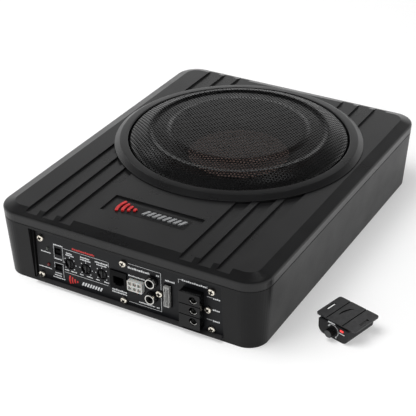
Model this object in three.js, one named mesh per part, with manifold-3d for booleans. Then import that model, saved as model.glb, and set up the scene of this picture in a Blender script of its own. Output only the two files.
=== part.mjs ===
// Powered car subwoofer (under-seat type) with its wired remote level control.
// Millimetres, +Z up. The origin is the centre of the enclosure's underside; the control
// panel faces -Y and +X is to the right of someone facing that panel.
import * as THREE from 'three';
import * as BufferGeometryUtils from 'three/addons/utils/BufferGeometryUtils.js';
import Module from 'manifold-3d';

const wasm = await Module();
wasm.setup();

// ---------------------------------------------------------------- driving dimensions
const GAP = 0.3; // clearance between pieces that touch

// enclosure, measured at its widest edge
const HALF_WIDTH = 125;
const HALF_LENGTH = 162;
const CORNER_RADIUS = 21;
const EDGE_Z = 63; // height where the wall and the chamfer would meet
const EDGE_RADIUS = 2.2; // that edge is rounded off
const DRAFT = 4.1; // how far the walls lean in from the edge to the floor
const WALL = 3;
const TUB_TOP_Z = 54.6;
const COVER_BOTTOM_Z = 55.8;
const TOP_Z = 66.3; // flat top of the cover
const CHAMFER_RUN = 10.6;
const CHAMFER_TURN = Math.PI / 2 - Math.atan((TOP_Z - EDGE_Z) / CHAMFER_RUN);
const WALL_TOP_Z = EDGE_Z - EDGE_RADIUS * Math.tan(CHAMFER_TURN / 2);
const COVER_INSIDE_Z = 61.3;

// channels pressed into the cover, three on each side of the middle
const CHANNEL_WIDTH = 11.3;
const CHANNEL_CENTRES = [56.35, 72.95, 89.5];
const CHANNEL_FLOOR_Z = 64.5;

// badge recess on the cover
const BADGE_Y = -113;
const BADGE_HALF_X = 42.6;
const BADGE_HALF_Y = 12.9;
const BADGE_FLOOR_Z = 64.8;

// driver and grille, all turned about one vertical axis
const DRIVER_Y = 36.8;
const RING_OUTER = 112.3;
const RING_INNER = 99.8;
const SEAT_RADIUS = 104.5;
const SEAT_Z = 62.8;
const CUTOUT_RADIUS = 93;
const POLE_RADIUS = 17.8;
const COIL_INNER = 18.5;
const COIL_OUTER = 19.4;

// control panel
const PANEL_FRONT_Y = -156;
const PANEL_THICKNESS = 2;
const PANEL_BACK_Y = PANEL_FRONT_Y + PANEL_THICKNESS;
const WINDOW_HALF_X = 90.5;
const WINDOW_BOTTOM_Z = 3.2;
const WINDOW_TOP_Z = 52.5;
const LEDGE_FRONT_Y = PANEL_BACK_Y + GAP;
const LEDGE_BACK_Y = -150.4;
const BOARD_FRONT_Y = -144.2; // upright part of the circuit board
const MAIN_BOARD_Z = 8;

// screws, as [x, z] on the panel
const PANEL_SCREWS = [
  [-82.4, 43], [-83.4, 7], [-1.6, 43], [-2.2, 7], [31.9, 24.8], [79.6, 42.6], [76, 24.6], [79.4, 7],
];
const SCREW_HEAD_RADIUS = 3.15;
const SCREW_SHANK_RADIUS = 1.5;
const CASE_SCREWS = [[-108, -145], [108, -145], [-108, 145], [108, 145]]; // [x, y]

// controls on the panel, as x and z of their centres
const KNOBS = [['lowpass', -54.6], ['input_level', -38.5], ['bass_boost', -22.9]];
const KNOB_Z = 25.5;
const SWITCHES = [['phase', -66.6, 34.1], ['level', -66.6, 18.2]];
const SWITCH_TRAVEL = 2.4;
const LEDS = [['power_led', -76.3, 34.2], ['protect_led', -76.3, 18.4]];
const JACK = { x: -6.3, z: 25.4, halfX: 7.6, halfZ: 8.4 };
const CONNECTOR = { x: 10.5, z: 25.9, halfX: 7, halfZ: 4.7 };
const RCA_SOCKETS = [['rca_socket_right', 25.4, 34.3], ['rca_socket_left', 24.8, 19.1]];
const FUSE = { x: 39.8, z: 25.7, halfX: 2.6, halfZ: 9.6 };
const TERMINAL = { x0: 53.6, x1: 72.4, z0: 6.6, z1: 39.4, screwX: 66.2 };
const TERMINAL_SCREW_Z = [13.7, 23.7, 33.7];

// remote level control, on the floor beside the enclosure
const REMOTE_AT = [168.3, -96.3, 0];
const REMOTE_TURN = THREE.MathUtils.degToRad(-15.2);
const REMOTE = { halfX: 14.85, front: -17.6, back: 14.2, top: 12.6, wall: 1.5 };
const REMOTE_KNOB = { x: -0.4, z: 7.3 };

// ---------------------------------------------------------------- geometry helpers
function box(x0, x1, y0, y1, z0, z1) {
  const shape = new THREE.BoxGeometry(x1 - x0, y1 - y0, z1 - z0);
  return shape.translate((x0 + x1) / 2, (y0 + y1) / 2, (z0 + z1) / 2);
}

function rodZ(x, y, radius, z0, z1, sides = 20) {
  const rod = new THREE.CylinderGeometry(radius, radius, z1 - z0, sides);
  return rod.rotateX(Math.PI / 2).translate(x, y, (z0 + z1) / 2);
}

function rodY(x, z, radius, y0, y1, sides = 20) {
  const rod = new THREE.CylinderGeometry(radius, radius, y1 - y0, sides);
  return rod.translate(x, (y0 + y1) / 2, z);
}

function rodX(y, z, radius, x0, x1, sides = 12) {
  const rod = new THREE.CylinderGeometry(radius, radius, x1 - x0, sides);
  return rod.rotateZ(Math.PI / 2).translate((x0 + x1) / 2, y, z);
}

// a profile of [radius, height] points turned about Z
function turned(profile, sides = 32) {
  const points = profile.map(([radius, height]) => new THREE.Vector2(radius, height));
  return new THREE.LatheGeometry(points, sides).rotateX(Math.PI / 2);
}

// the same, turned about an axis that points out of the panel (-Y) from [x, baseY, z]
function turnedOut(profile, x, baseY, z, sides = 20) {
  return turned(profile, sides).rotateX(Math.PI / 2).translate(x, baseY, z);
}

function roundedRect(halfX, halfY, radius) {
  const shape = new THREE.Shape();
  const quarter = Math.PI / 2;
  shape.moveTo(halfX, -halfY + radius);
  shape.absarc(halfX - radius, halfY - radius, radius, 0, quarter);
  shape.absarc(-halfX + radius, halfY - radius, radius, quarter, 2 * quarter);
  shape.absarc(-halfX + radius, -halfY + radius, radius, 2 * quarter, 3 * quarter);
  shape.absarc(halfX - radius, -halfY + radius, radius, 3 * quarter, 4 * quarter);
  return shape;
}

function prism(shape, z0, z1, curveSegments = 6) {
  const options = { depth: z1 - z0, bevelEnabled: false, curveSegments };
  return new THREE.ExtrudeGeometry(shape, options).translate(0, 0, z0);
}

// a rounded block whose outline is drawn in by insetAt(z), keeping its corner centres
function insetBlock(halfX, halfY, radius, z0, z1, insetAt) {
  const block = prism(roundedRect(halfX, halfY, radius), z0, z1);
  const at = block.attributes.position;
  for (let i = 0; i < at.count; i += 1) {
    const centreX = THREE.MathUtils.clamp(at.getX(i), radius - halfX, halfX - radius);
    const centreY = THREE.MathUtils.clamp(at.getY(i), radius - halfY, halfY - radius);
    const share = (radius - insetAt(at.getZ(i))) / radius;
    at.setX(i, centreX + (at.getX(i) - centreX) * share);
    at.setY(i, centreY + (at.getY(i) - centreY) * share);
  }
  return block;
}

// the enclosure's drafted outline, drawn in by a wall thickness
function draftedBlock(inset, z0, z1) {
  const leanIn = (z) => inset + DRAFT * Math.max(0, 1 - z / WALL_TOP_Z);
  return insetBlock(HALF_WIDTH, HALF_LENGTH, CORNER_RADIUS, z0, z1, leanIn);
}

function solid(geometry) {
  if (geometry instanceof wasm.Manifold) {
    return geometry;
  }
  const bare = geometry.clone();
  bare.deleteAttribute('normal');
  bare.deleteAttribute('uv');
  const merged = BufferGeometryUtils.mergeVertices(bare);
  const corner = (i) => new THREE.Vector3().fromBufferAttribute(merged.attributes.position, i);
  const triangles = [];
  let volume = 0;
  for (let i = 0; i < merged.index.count; i += 3) {
    const [a, b, c] = [0, 1, 2].map((k) => merged.index.getX(i + k));
    if (a !== b && b !== c && a !== c) {
      triangles.push([a, b, c]);
      volume += corner(a).dot(corner(b).cross(corner(c)));
    }
  }
  if (volume < 0) {
    triangles.forEach((triangle) => triangle.reverse());
  }
  const mesh = new wasm.Mesh({
    numProp: 3,
    vertProperties: Float32Array.from(merged.attributes.position.array),
    triVerts: Uint32Array.from(triangles.flat()),
  });
  return new wasm.Manifold(mesh);
}

const join = (first, ...rest) => rest.reduce((whole, piece) => whole.add(solid(piece)), solid(first));
const cut = (body, ...tools) => tools.reduce((left, tool) => left.subtract(solid(tool)), solid(body));
const overlap = (body, tool) => solid(body).intersect(solid(tool));

function toGeometry(manifold) {
  const mesh = manifold.getMesh();
  const geometry = new THREE.BufferGeometry();
  geometry.setAttribute('position', new THREE.BufferAttribute(mesh.vertProperties, 3));
  geometry.setIndex(new THREE.BufferAttribute(mesh.triVerts, 1));
  geometry.computeVertexNormals();
  return geometry;
}

// ---------------------------------------------------------------- materials
const TEXTURED_ABS = { color: 0x363637, roughness: 0.62, metalness: 0 };
const BLACK_PLASTIC = { color: 0x161617, roughness: 0.45, metalness: 0 };
const BLACK_STEEL = { color: 0x232326, roughness: 0.5, metalness: 0.3 };
const ZINC = { color: 0xcfc3a0, roughness: 0.3, metalness: 1 };
const NICKEL = { color: 0xd2d2d0, roughness: 0.22, metalness: 1 };
const SILVER_PLASTIC = { color: 0xb9bbbd, roughness: 0.35, metalness: 0.6 };
const WHITE_NYLON = { color: 0xd6d5cf, roughness: 0.5, metalness: 0 };
const CLEAR_PLASTIC = { color: 0xc9cac4, roughness: 0.15, metalness: 0 };
const GREEN_LENS = { color: 0x4c5a4c, roughness: 0.25, metalness: 0 };
const RED_LENS = { color: 0xc81e1e, roughness: 0.25, metalness: 0 };
const BOARD = { color: 0x1d5a34, roughness: 0.55, metalness: 0 };
const ALUMINIUM = { color: 0xa9abad, roughness: 0.4, metalness: 1 };
const PLATED_STEEL = { color: 0x8f9193, roughness: 0.35, metalness: 1 };
const FERRITE = { color: 0x3a3b3d, roughness: 0.75, metalness: 0.1 };
const RUBBER = { color: 0x1b1b1c, roughness: 0.8, metalness: 0 };
const PAPER = { color: 0x2a2422, roughness: 0.85, metalness: 0 };
const COPPER_CAP = { color: 0x5d2f28, roughness: 0.5, metalness: 0 };
const COPPER = { color: 0xb4703e, roughness: 0.4, metalness: 1 };
const TREATED_CLOTH = { color: 0xb58e4f, roughness: 0.9, metalness: 0 };
const FOAM = { color: 0x121212, roughness: 0.95, metalness: 0 };

const part = new THREE.Group();

function add(name, shape, material, parent = part) {
  const mesh = new THREE.Mesh(toGeometry(solid(shape)), new THREE.MeshStandardMaterial(material));
  mesh.name = name;
  parent.add(mesh);
  return mesh;
}

// ---------------------------------------------------------------- enclosure
function lowerTub() {
  const cavity = draftedBlock(WALL, WALL, TUB_TOP_Z + 1);
  const outer = draftedBlock(0, 0, TUB_TOP_Z);
  let tub = cut(outer, cavity);
  const frame = box(-WINDOW_HALF_X - 3.5, WINDOW_HALF_X + 3.5, -170, LEDGE_BACK_Y, 0.5, TUB_TOP_Z);
  tub = join(tub, overlap(outer, frame));
  for (const [x, y] of CASE_SCREWS) {
    tub = join(tub, rodZ(x, y, 5.2, 1, TUB_TOP_Z - 4, 12));
    tub = cut(tub, rodZ(x, y, 4, -1, 4, 12), rodZ(x, y, SCREW_SHANK_RADIUS + 0.5, 3, 70, 8));
  }
  for (const x of [-92, 92]) {
    for (const y of [-138, -80]) {
      tub = join(tub, rodZ(x, y, 3.5, 2, MAIN_BOARD_Z - GAP, 8));
    }
  }
  const reach = WINDOW_HALF_X;
  tub = cut(tub, box(-reach, reach, -170, LEDGE_FRONT_Y, WINDOW_BOTTOM_Z, WINDOW_TOP_Z));
  tub = cut(tub, box(-79.2, 72.8, -155, -150, 11, 49));
  tub = join(tub, box(-6, 2.8, LEDGE_FRONT_Y, LEDGE_BACK_Y, 39.5, 50));
  const shankHoles = PANEL_SCREWS.map(([x, z]) => rodY(x, z, SCREW_SHANK_RADIUS + GAP, -156, -146, 8));
  return cut(tub, ...shankHoles);
}

// the rim, the rounded edge and the chamfer, stacked up as slices
function coverShell() {
  const levels = [[COVER_BOTTOM_Z, DRAFT * (1 - COVER_BOTTOM_Z / WALL_TOP_Z)]];
  const slices = 4;
  for (let i = 0; i <= slices; i += 1) {
    const turn = (CHAMFER_TURN * i) / slices;
    levels.push([WALL_TOP_Z + EDGE_RADIUS * Math.sin(turn), EDGE_RADIUS * (1 - Math.cos(turn))]);
  }
  levels.push([TOP_Z, CHAMFER_RUN]);
  const shell = levels.slice(1).map(([z1, inset1], i) => {
    const [z0, inset0] = levels[i];
    const insetAt = (z) => THREE.MathUtils.mapLinear(z, z0, z1, inset0, inset1);
    return insetBlock(HALF_WIDTH, HALF_LENGTH, CORNER_RADIUS, z0, z1, insetAt);
  });
  return join(...shell);
}

function topCover() {
  let cover = cut(coverShell(), draftedBlock(WALL, COVER_BOTTOM_Z - 1, COVER_INSIDE_Z));
  cover = join(cover, rodZ(0, DRIVER_Y, SEAT_RADIUS + 3, SEAT_Z - 3, TOP_Z - 1, 48));
  const seat = rodZ(0, DRIVER_Y, SEAT_RADIUS, SEAT_Z, TOP_Z + 1, 48);
  const cutout = rodZ(0, DRIVER_Y, CUTOUT_RADIUS, COVER_BOTTOM_Z, TOP_Z, 48);
  cover = cut(cover, seat, cutout);
  const collar = solid(rodZ(0, DRIVER_Y, RING_OUTER - 0.8, CHANNEL_FLOOR_Z - 1, TOP_Z + 2, 48));
  for (const centre of [...CHANNEL_CENTRES, ...CHANNEL_CENTRES.map((x) => -x)]) {
    const [left, right] = [centre - CHANNEL_WIDTH / 2, centre + CHANNEL_WIDTH / 2];
    const channel = box(left, right, -HALF_LENGTH, HALF_LENGTH, CHANNEL_FLOOR_Z, TOP_Z + 1);
    cover = cut(cover, cut(channel, collar));
  }
  const recess = [-BADGE_HALF_X, BADGE_HALF_X, BADGE_Y - BADGE_HALF_Y, BADGE_Y + BADGE_HALF_Y];
  cover = cut(cover, box(...recess, BADGE_FLOOR_Z, TOP_Z + 1));
  for (const [x, y] of CASE_SCREWS) {
    const boss = rodZ(x, y, 4.6, TUB_TOP_Z - 4 + GAP, COVER_INSIDE_Z + 1, 12);
    cover = cut(join(cover, boss), rodZ(x, y, SCREW_SHANK_RADIUS + GAP, 40, 60, 8));
  }
  return cover;
}

function coverGasket() {
  const bottom = TUB_TOP_Z + GAP;
  const top = COVER_BOTTOM_Z - GAP;
  return cut(draftedBlock(0.2, bottom, top), draftedBlock(WALL - 0.2, bottom - 1, top + 1));
}

function caseScrew(x, y) {
  const head = rodZ(x, y, 3.5, 0.8, 3.2, 12);
  const shank = rodZ(x, y, SCREW_SHANK_RADIUS, 3, 58.5, 8);
  return cut(join(head, shank), box(x - 0.5, x + 0.5, y - 2.2, y + 2.2, 0, 1.8));
}

add('lower_tub', lowerTub(), TEXTURED_ABS);
add('top_cover', topCover(), TEXTURED_ABS);
add('cover_gasket', coverGasket(), FOAM);
CASE_SCREWS.forEach(([x, y], i) => add(`case_screw_${i + 1}`, caseScrew(x, y), BLACK_STEEL));

// the badge is a thin carrier with four nested arcs and a row of slanted bars standing on it
const BADGE_ARC_X = -12;
const BADGE_ARC_RADII = [4.4, 9.4, 14.4, 19.4];
const BADGE_BARS = 8;

function badgeArc(radius) {
  const [halfWidth, halfSweep] = [1.3, 0.42];
  const shape = new THREE.Shape();
  shape.absarc(0, 0, radius + halfWidth, Math.PI - halfSweep, Math.PI + halfSweep);
  shape.absarc(0, 0, radius - halfWidth, Math.PI + halfSweep, Math.PI - halfSweep, true);
  return shape;
}

function badge() {
  const floor = BADGE_FLOOR_Z + GAP;
  const [carrierTop, markTop] = [floor + 0.4, floor + 1];
  let plate = solid(prism(roundedRect(33.5, 7, 1.5), floor, carrierTop, 3));
  for (const radius of BADGE_ARC_RADII) {
    plate = join(plate, prism(badgeArc(radius), carrierTop - 0.2, markTop).translate(BADGE_ARC_X, 0, 0));
  }
  for (let i = 0; i < BADGE_BARS; i += 1) {
    const bar = new THREE.Shape();
    const [left, lean] = [-7 + i * 4.9, 1.6];
    bar.moveTo(left - lean, -3.4).lineTo(left - lean + 3, -3.4).lineTo(left + lean + 3, 3.4);
    bar.lineTo(left + lean, 3.4);
    plate = join(plate, prism(bar, carrierTop - 0.2, markTop));
  }
  return plate.translate(0, BADGE_Y, 0);
}

add('badge', badge(), SILVER_PLASTIC);

// ---------------------------------------------------------------- grille and its ring
const ON_DRIVER_AXIS = [0, DRIVER_Y, 0];

function grilleRing() {
  return turned([
    [RING_INNER, TOP_Z + GAP], [RING_OUTER, TOP_Z + GAP], [RING_OUTER, TOP_Z + 0.9],
    [107.4, 70.3], [RING_INNER + 0.8, 70.75], [RING_INNER, 70.1], [RING_INNER, TOP_Z + GAP],
  ], 48);
}

function grille() {
  return turned([
    [0, 79], [60.9, 78.3], [63.7, 76.5], [76.8, 75.6], [80.2, 77.2], [83.4, 76.4], [94.8, 71.7],
    [97.7, 69.3], [98.3, 65.5], [103.5, 65.5], [103.5, TOP_Z], [99.2, TOP_Z], [98.6, 69.8],
    [95.2, 72.6], [83.8, 77.2], [80.3, 78.1], [77, 76.5], [64, 77.4], [61.3, 79.2], [0, 79.9],
  ], 32);
}

add('grille_ring', grilleRing(), TEXTURED_ABS).position.set(...ON_DRIVER_AXIS);
add('grille', grille(), BLACK_STEEL).position.set(...ON_DRIVER_AXIS);

// ---------------------------------------------------------------- driver
function driverBasket() {
  let basket = solid(turned([
    [103.8, 63.1], [103.8, 65.1], [87.5, 65.1], [85.8, 60], [60, 40], [59, 36], [49, 36], [47.5, 31.3],
    [23.5, 31.3], [23.5, 29.3], [49, 29.3], [50.8, 34], [61, 34], [62.5, 39], [88, 59], [89.5, 63.1],
    [103.8, 63.1],
  ], 32));
  const windows = 6;
  for (let i = 0; i < windows; i += 1) {
    const window = box(55, 100, -13, 13, 43, 56).rotateZ(((i + 0.5) / windows) * 2 * Math.PI);
    basket = cut(basket, window);
  }
  return basket;
}

function surround() {
  return turned([
    [74.5, 61.4], [78.3, 61.4], [79.8, 68], [82.7, 69.8], [85.6, 68], [87.6, 65.4], [95.5, 65.4],
    [95.5, 66.1], [88, 66.1], [86.2, 68.7], [82.7, 70.7], [79.2, 68.7], [77.5, 62.1], [74.5, 62.1],
    [74.5, 61.4],
  ], 28);
}

const CONE_NECK = { radius: 19.8, z: 41.5 };
const CONE_EDGE = { radius: 77, z: 59.9 };

function cone() {
  const skin = 1.2;
  return turned([
    [CONE_NECK.radius, CONE_NECK.z], [CONE_EDGE.radius, CONE_EDGE.z],
    [CONE_EDGE.radius, CONE_EDGE.z + skin], [CONE_NECK.radius, CONE_NECK.z + skin],
    [CONE_NECK.radius, CONE_NECK.z],
  ], 28);
}

// a shallow dome glued on the cone half way out
function dustCap() {
  return turned([
    [0, 55.9], [16, 55.2], [30, 53.7], [42, 51.4], [46, 51.5],
    [46, 52.3], [42.2, 52.2], [30.2, 54.6], [16.2, 56.1], [0, 56.8],
  ], 28);
}

function voiceCoil() {
  return turned([
    [COIL_INNER, 18.5], [COIL_OUTER, 18.5], [COIL_OUTER, 43.4], [COIL_INNER, 43.4], [COIL_INNER, 18.5],
  ], 24);
}

function spider() {
  const profile = [[19.8, 38.6], [23, 38.6]];
  const rolls = 2;
  for (let i = 0; i < rolls; i += 1) {
    const radius = 27 + i * 12;
    profile.push([radius, 37.2], [radius + 6, 39]);
  }
  profile.push([49.5, 36.4], [57.5, 36.4]);
  const upper = profile.map(([radius, z]) => [radius, z + 0.8]).reverse();
  return turned([...profile, ...upper, profile[0]], 20);
}

function ringPlate(inner, outer, z0, z1, sides = 24) {
  return turned([[inner, z0], [outer, z0], [outer, z1], [inner, z1], [inner, z0]], sides);
}

function backPlate() {
  return turned([
    [0, 5.6], [42, 5.6], [43, 6.6], [43, 11], [POLE_RADIUS, 11], [POLE_RADIUS, 30.5], [0, 30.5],
  ], 24);
}

const driverPieces = [
  ['driver_basket', driverBasket(), BLACK_STEEL],
  ['surround', surround(), RUBBER],
  ['cone', cone(), PAPER],
  ['dust_cap', dustCap(), COPPER_CAP],
  ['voice_coil', voiceCoil(), COPPER],
  ['spider', spider(), TREATED_CLOTH],
  ['top_plate', ringPlate(20.3, 42, 24, 29), PLATED_STEEL],
  ['magnet', ringPlate(26, 47, 11.3, 23.7), FERRITE],
  ['back_plate', backPlate(), PLATED_STEEL],
];
for (const [name, shape, material] of driverPieces) {
  add(name, shape, material).position.set(...ON_DRIVER_AXIS);
}

// ---------------------------------------------------------------- control panel
function controlPanel() {
  const plate = box(
    -WINDOW_HALF_X + GAP, WINDOW_HALF_X - GAP, PANEL_FRONT_Y, PANEL_BACK_Y,
    WINDOW_BOTTOM_Z + GAP, WINDOW_TOP_Z - GAP,
  );
  const [front, back] = [PANEL_FRONT_Y - 1, PANEL_BACK_Y + 1];
  const holes = [
    ...PANEL_SCREWS.map(([x, z]) => rodY(x, z, SCREW_SHANK_RADIUS + GAP, front, back, 8)),
    ...KNOBS.map(([, x]) => rodY(x, KNOB_Z, 4.4, front, back, 16)),
    ...SWITCHES.map(([, x, z]) => box(x - 3.6, x + 3.6, front, back, z - 3.3, z + 3.3)),
    ...LEDS.map(([, x, z]) => rodY(x, z, 1.5 + GAP, front, back, 8)),
    ...RCA_SOCKETS.map(([, x, z]) => rodY(x, z, 4.9, front, back, 16)),
    cutoutFor(JACK, 0.4, front, back),
    cutoutFor(CONNECTOR, 0.4, front, back),
    box(CONNECTOR.x - 2.6, CONNECTOR.x + 2.6, front, back, CONNECTOR.z - 8.4, CONNECTOR.z),
    cutoutFor({ ...FUSE, halfX: 3.4, halfZ: 10.4 }, GAP, front, back),
    box(55, 71, front, back, 11.5, 36.5),
  ];
  return cut(plate, ...holes);
}

function cutoutFor(item, margin, y0, y1) {
  const [x, z] = [item.halfX + margin, item.halfZ + margin];
  return box(item.x - x, item.x + x, y0, y1, item.z - z, item.z + z);
}

// a pan-head screw with a cross recess, its head outside the panel
function panelScrew(x, z) {
  const head = [
    [0, 0], [SCREW_HEAD_RADIUS, 0], [SCREW_HEAD_RADIUS, 0.9], [1.7, 2.1], [0, 2.1],
  ];
  const seatY = PANEL_FRONT_Y - GAP;
  const shank = rodY(x, z, SCREW_SHANK_RADIUS, seatY - 0.2, LEDGE_BACK_Y - 0.8, 8);
  const across = box(x - 1.9, x + 1.9, seatY - 3, seatY - 1, z - 0.45, z + 0.45);
  const upright = box(x - 0.45, x + 0.45, seatY - 3, seatY - 1, z - 1.9, z + 1.9);
  return cut(join(turnedOut(head, x, seatY, z, 12), shank), across, upright);
}

add('control_panel', controlPanel(), BLACK_STEEL);
PANEL_SCREWS.forEach(([x, z], i) => add(`panel_screw_${i + 1}`, panelScrew(x, z), ZINC));

// ---------------------------------------------------------------- rotary controls
const KNOB_FRONT_Y = -155.2;
const KNOB_BACK_Y = -150.9;
const POT_FRONT_Y = PANEL_BACK_Y + GAP;
const POT_BACK_Y = BOARD_FRONT_Y - GAP;

function rotaryKnob(x) {
  const cap = rodY(x, KNOB_Z, 3.6, KNOB_FRONT_Y, KNOB_BACK_Y, 16);
  const shaft = rodY(x, KNOB_Z, 1.6, KNOB_BACK_Y - 1, POT_BACK_Y - 1.2, 8);
  const slot = box(x - 0.6, x + 0.6, KNOB_FRONT_Y - 1, KNOB_FRONT_Y + 1.6, KNOB_Z - 3, KNOB_Z + 3);
  return cut(join(cap, shaft), slot);
}

// the potentiometer's collar reaches the panel, and the knob turns inside it
function potentiometer(x) {
  const body = box(x - 5.2, x + 5.2, POT_FRONT_Y, POT_BACK_Y, KNOB_Z - 5.2, KNOB_Z + 5.2);
  const well = rodY(x, KNOB_Z, 4.2, POT_FRONT_Y - 1, KNOB_BACK_Y + GAP, 16);
  return cut(body, well, rodY(x, KNOB_Z, 1.6 + GAP, POT_FRONT_Y, POT_BACK_Y - 0.8, 8));
}

for (const [name, x] of KNOBS) {
  add(`${name}_knob`, rotaryKnob(x), BLACK_PLASTIC);
  add(`${name}_pot`, potentiometer(x), ALUMINIUM);
}

// ---------------------------------------------------------------- slide switches
const SWITCH_FRONT_Y = LEDGE_FRONT_Y;
const SWITCH_WELL_Y = -149.6;

function switchBody(x, z) {
  const body = box(x - 5.4, x + 5.4, SWITCH_FRONT_Y, POT_BACK_Y, z - 5.4, z + 5.4);
  return cut(body, box(x - 3.4, x + 3.4, SWITCH_FRONT_Y - 1, SWITCH_WELL_Y, z - 3.2, z + 3.2));
}

// the lever rests at the lower end of its well and slides up by SWITCH_TRAVEL
function switchLever(x, z) {
  const bottom = z - SWITCH_TRAVEL / 2 - 1.4;
  const block = box(x - 2.6, x + 2.6, -154.6, SWITCH_WELL_Y - GAP, bottom, bottom + 2.8);
  const groove = (z0) => box(x - 3, x + 3, -155, -154.2, z0, z0 + 0.4);
  const grips = [0.4, 1.2, 2].map((up) => groove(bottom + up));
  return cut(block, ...grips);
}

for (const [name, x, z] of SWITCHES) {
  add(`${name}_switch_body`, switchBody(x, z), BLACK_PLASTIC);
  add(`${name}_switch_lever`, switchLever(x, z), BLACK_PLASTIC);
}

// ---------------------------------------------------------------- lamps and sockets
function led(x, z) {
  const lens = [[0, 0], [2.1, 0], [2.1, 1.2], [1.5, 1.2], [1.5, 4.2], [1, 5], [0, 5.3]];
  return turnedOut(lens, x, -152, z, 10);
}

add(LEDS[0][0], led(LEDS[0][1], LEDS[0][2]), GREEN_LENS);
add(LEDS[1][0], led(LEDS[1][1], LEDS[1][2]), RED_LENS);

// modular jack: a square body with a stepped mouth for the plug and its latch
function modularJack({ x, z, halfX, halfZ }, frontY, backY, mouthDepth) {
  const inward = Math.sign(backY - frontY);
  const slab = (halfSpan, depth, z0, z1) => {
    const [y0, y1] = [frontY - inward, frontY + inward * depth];
    return box(x - halfSpan, x + halfSpan, Math.min(y0, y1), Math.max(y0, y1), z + z0, z + z1);
  };
  const [y0, y1] = [Math.min(frontY, backY), Math.max(frontY, backY)];
  const body = box(x - halfX, x + halfX, y0, y1, z - halfZ, z + halfZ);
  return cut(body, slab(5.1, mouthDepth, -3.6, 3.4), slab(3, mouthDepth - 2, -5, -3.2));
}

add('remote_jack', modularJack(JACK, PANEL_FRONT_Y - 1.2, -140, 11), BLACK_PLASTIC);

// a shelf under the housing closes the panel's latch pocket from behind
function highLevelConnector() {
  const [frontY, backY] = [PANEL_FRONT_Y - 4, -143];
  const { x: middleX, z: middleZ } = CONNECTOR;
  const shelf = box(middleX - 3.6, middleX + 3.6, LEDGE_FRONT_Y, LEDGE_BACK_Y, middleZ - 9.4, middleZ);
  let housing = join(cutoutFor(CONNECTOR, 0, frontY, backY), shelf);
  for (const column of [-1, 0, 1]) {
    for (const row of [-1, 1]) {
      const [x, z] = [middleX + column * 4.4, middleZ + row * 2.2];
      housing = cut(housing, box(x - 1.6, x + 1.6, frontY - 1, frontY + 6, z - 1.6, z + 1.6));
    }
  }
  return housing;
}

add('high_level_connector', highLevelConnector(), WHITE_NYLON);

// phono socket: flange, barrel and a body behind the panel
function rcaSocket(x, z, hasScrewTab) {
  const flangeY = PANEL_FRONT_Y - GAP;
  const front = [[0, 0], [5.4, 0], [5.4, 1.1], [4.3, 1.1], [4.3, 4.6], [3.4, 4.6], [3.4, 3.6], [0, 3.6]];
  const neck = rodY(x, z, 4.6, flangeY - 0.5, LEDGE_FRONT_Y + 1, 16);
  const rear = box(x - 5, x + 5, LEDGE_FRONT_Y, -143, z - 5, z + 5);
  let socket = join(turnedOut(front, x, flangeY, z, 16), neck, rear);
  if (hasScrewTab) {
    const tab = box(x + 4, x + 11, LEDGE_FRONT_Y, LEDGE_BACK_Y, z + 1.5, z + 9);
    socket = join(socket, tab);
  }
  const [screwX, screwZ] = PANEL_SCREWS[4];
  const screwHole = rodY(screwX, screwZ, SCREW_SHANK_RADIUS + GAP, -156, -148, 12);
  return cut(socket, rodY(x, z, 1.65, flangeY - 6, flangeY + 4, 12), screwHole);
}

add(RCA_SOCKETS[0][0], rcaSocket(RCA_SOCKETS[0][1], RCA_SOCKETS[0][2], false), NICKEL);
add(RCA_SOCKETS[1][0], rcaSocket(RCA_SOCKETS[1][1], RCA_SOCKETS[1][2], true), NICKEL);

// ---------------------------------------------------------------- fuse and power terminals
const FUSE_FRONT_Y = PANEL_FRONT_Y - 3.6;

function fuseHolder() {
  const outline = { ...FUSE, halfX: 3.4, halfZ: 10.4 };
  const pocket = { ...FUSE, halfX: FUSE.halfX + GAP, halfZ: FUSE.halfZ + GAP };
  const body = cutoutFor(outline, 0, PANEL_FRONT_Y - 0.8, -140);
  const blades = cutoutFor({ ...FUSE, halfX: 0.7, halfZ: 8.2 }, 0, -160, -142);
  return cut(body, cutoutFor(pocket, 0, -160, -151), blades);
}

function fuse() {
  const cap = cutoutFor(FUSE, 0, FUSE_FRONT_Y, -151 - GAP);
  const blade = (z) => box(FUSE.x - 0.35, FUSE.x + 0.35, -152, -143, z - 2.6, z + 2.6);
  const waist = box(FUSE.x - 5, FUSE.x + 5, FUSE_FRONT_Y - 1, FUSE_FRONT_Y + 0.8, FUSE.z - 4.4, FUSE.z + 4.4);
  return cut(join(cap, blade(FUSE.z - 5.2), blade(FUSE.z + 5.2)), waist);
}

const TERMINAL_FRONT_Y = PANEL_FRONT_Y - 7.4;
const TERMINAL_WELL_Y = TERMINAL_FRONT_Y + 5;

function terminalBlock() {
  const { x0, x1, z0, z1, screwX } = TERMINAL;
  let block = join(
    box(x0, x1, TERMINAL_FRONT_Y, PANEL_FRONT_Y - GAP, z0, z1),
    box(55.3, 70.7, PANEL_FRONT_Y - 1, -141, 11.8, 36.2),
  );
  for (const z of TERMINAL_SCREW_Z) {
    const well = rodY(screwX, z, 3.5, TERMINAL_FRONT_Y - 1, TERMINAL_WELL_Y, 16);
    const thread = rodY(screwX, z, 1.6 + GAP, TERMINAL_WELL_Y - 1, -148, 8);
    const wireEntry = rodX(TERMINAL_WELL_Y - 0.6, z, 1.7, x0 - 1, screwX, 8);
    block = cut(block, well, thread, wireEntry);
  }
  for (const z of [18.7, 28.7]) {
    block = cut(block, box(x0 - 1, x1 + 1, TERMINAL_FRONT_Y - 1, TERMINAL_FRONT_Y + 1.4, z - 0.4, z + 0.4));
  }
  return block;
}

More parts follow.
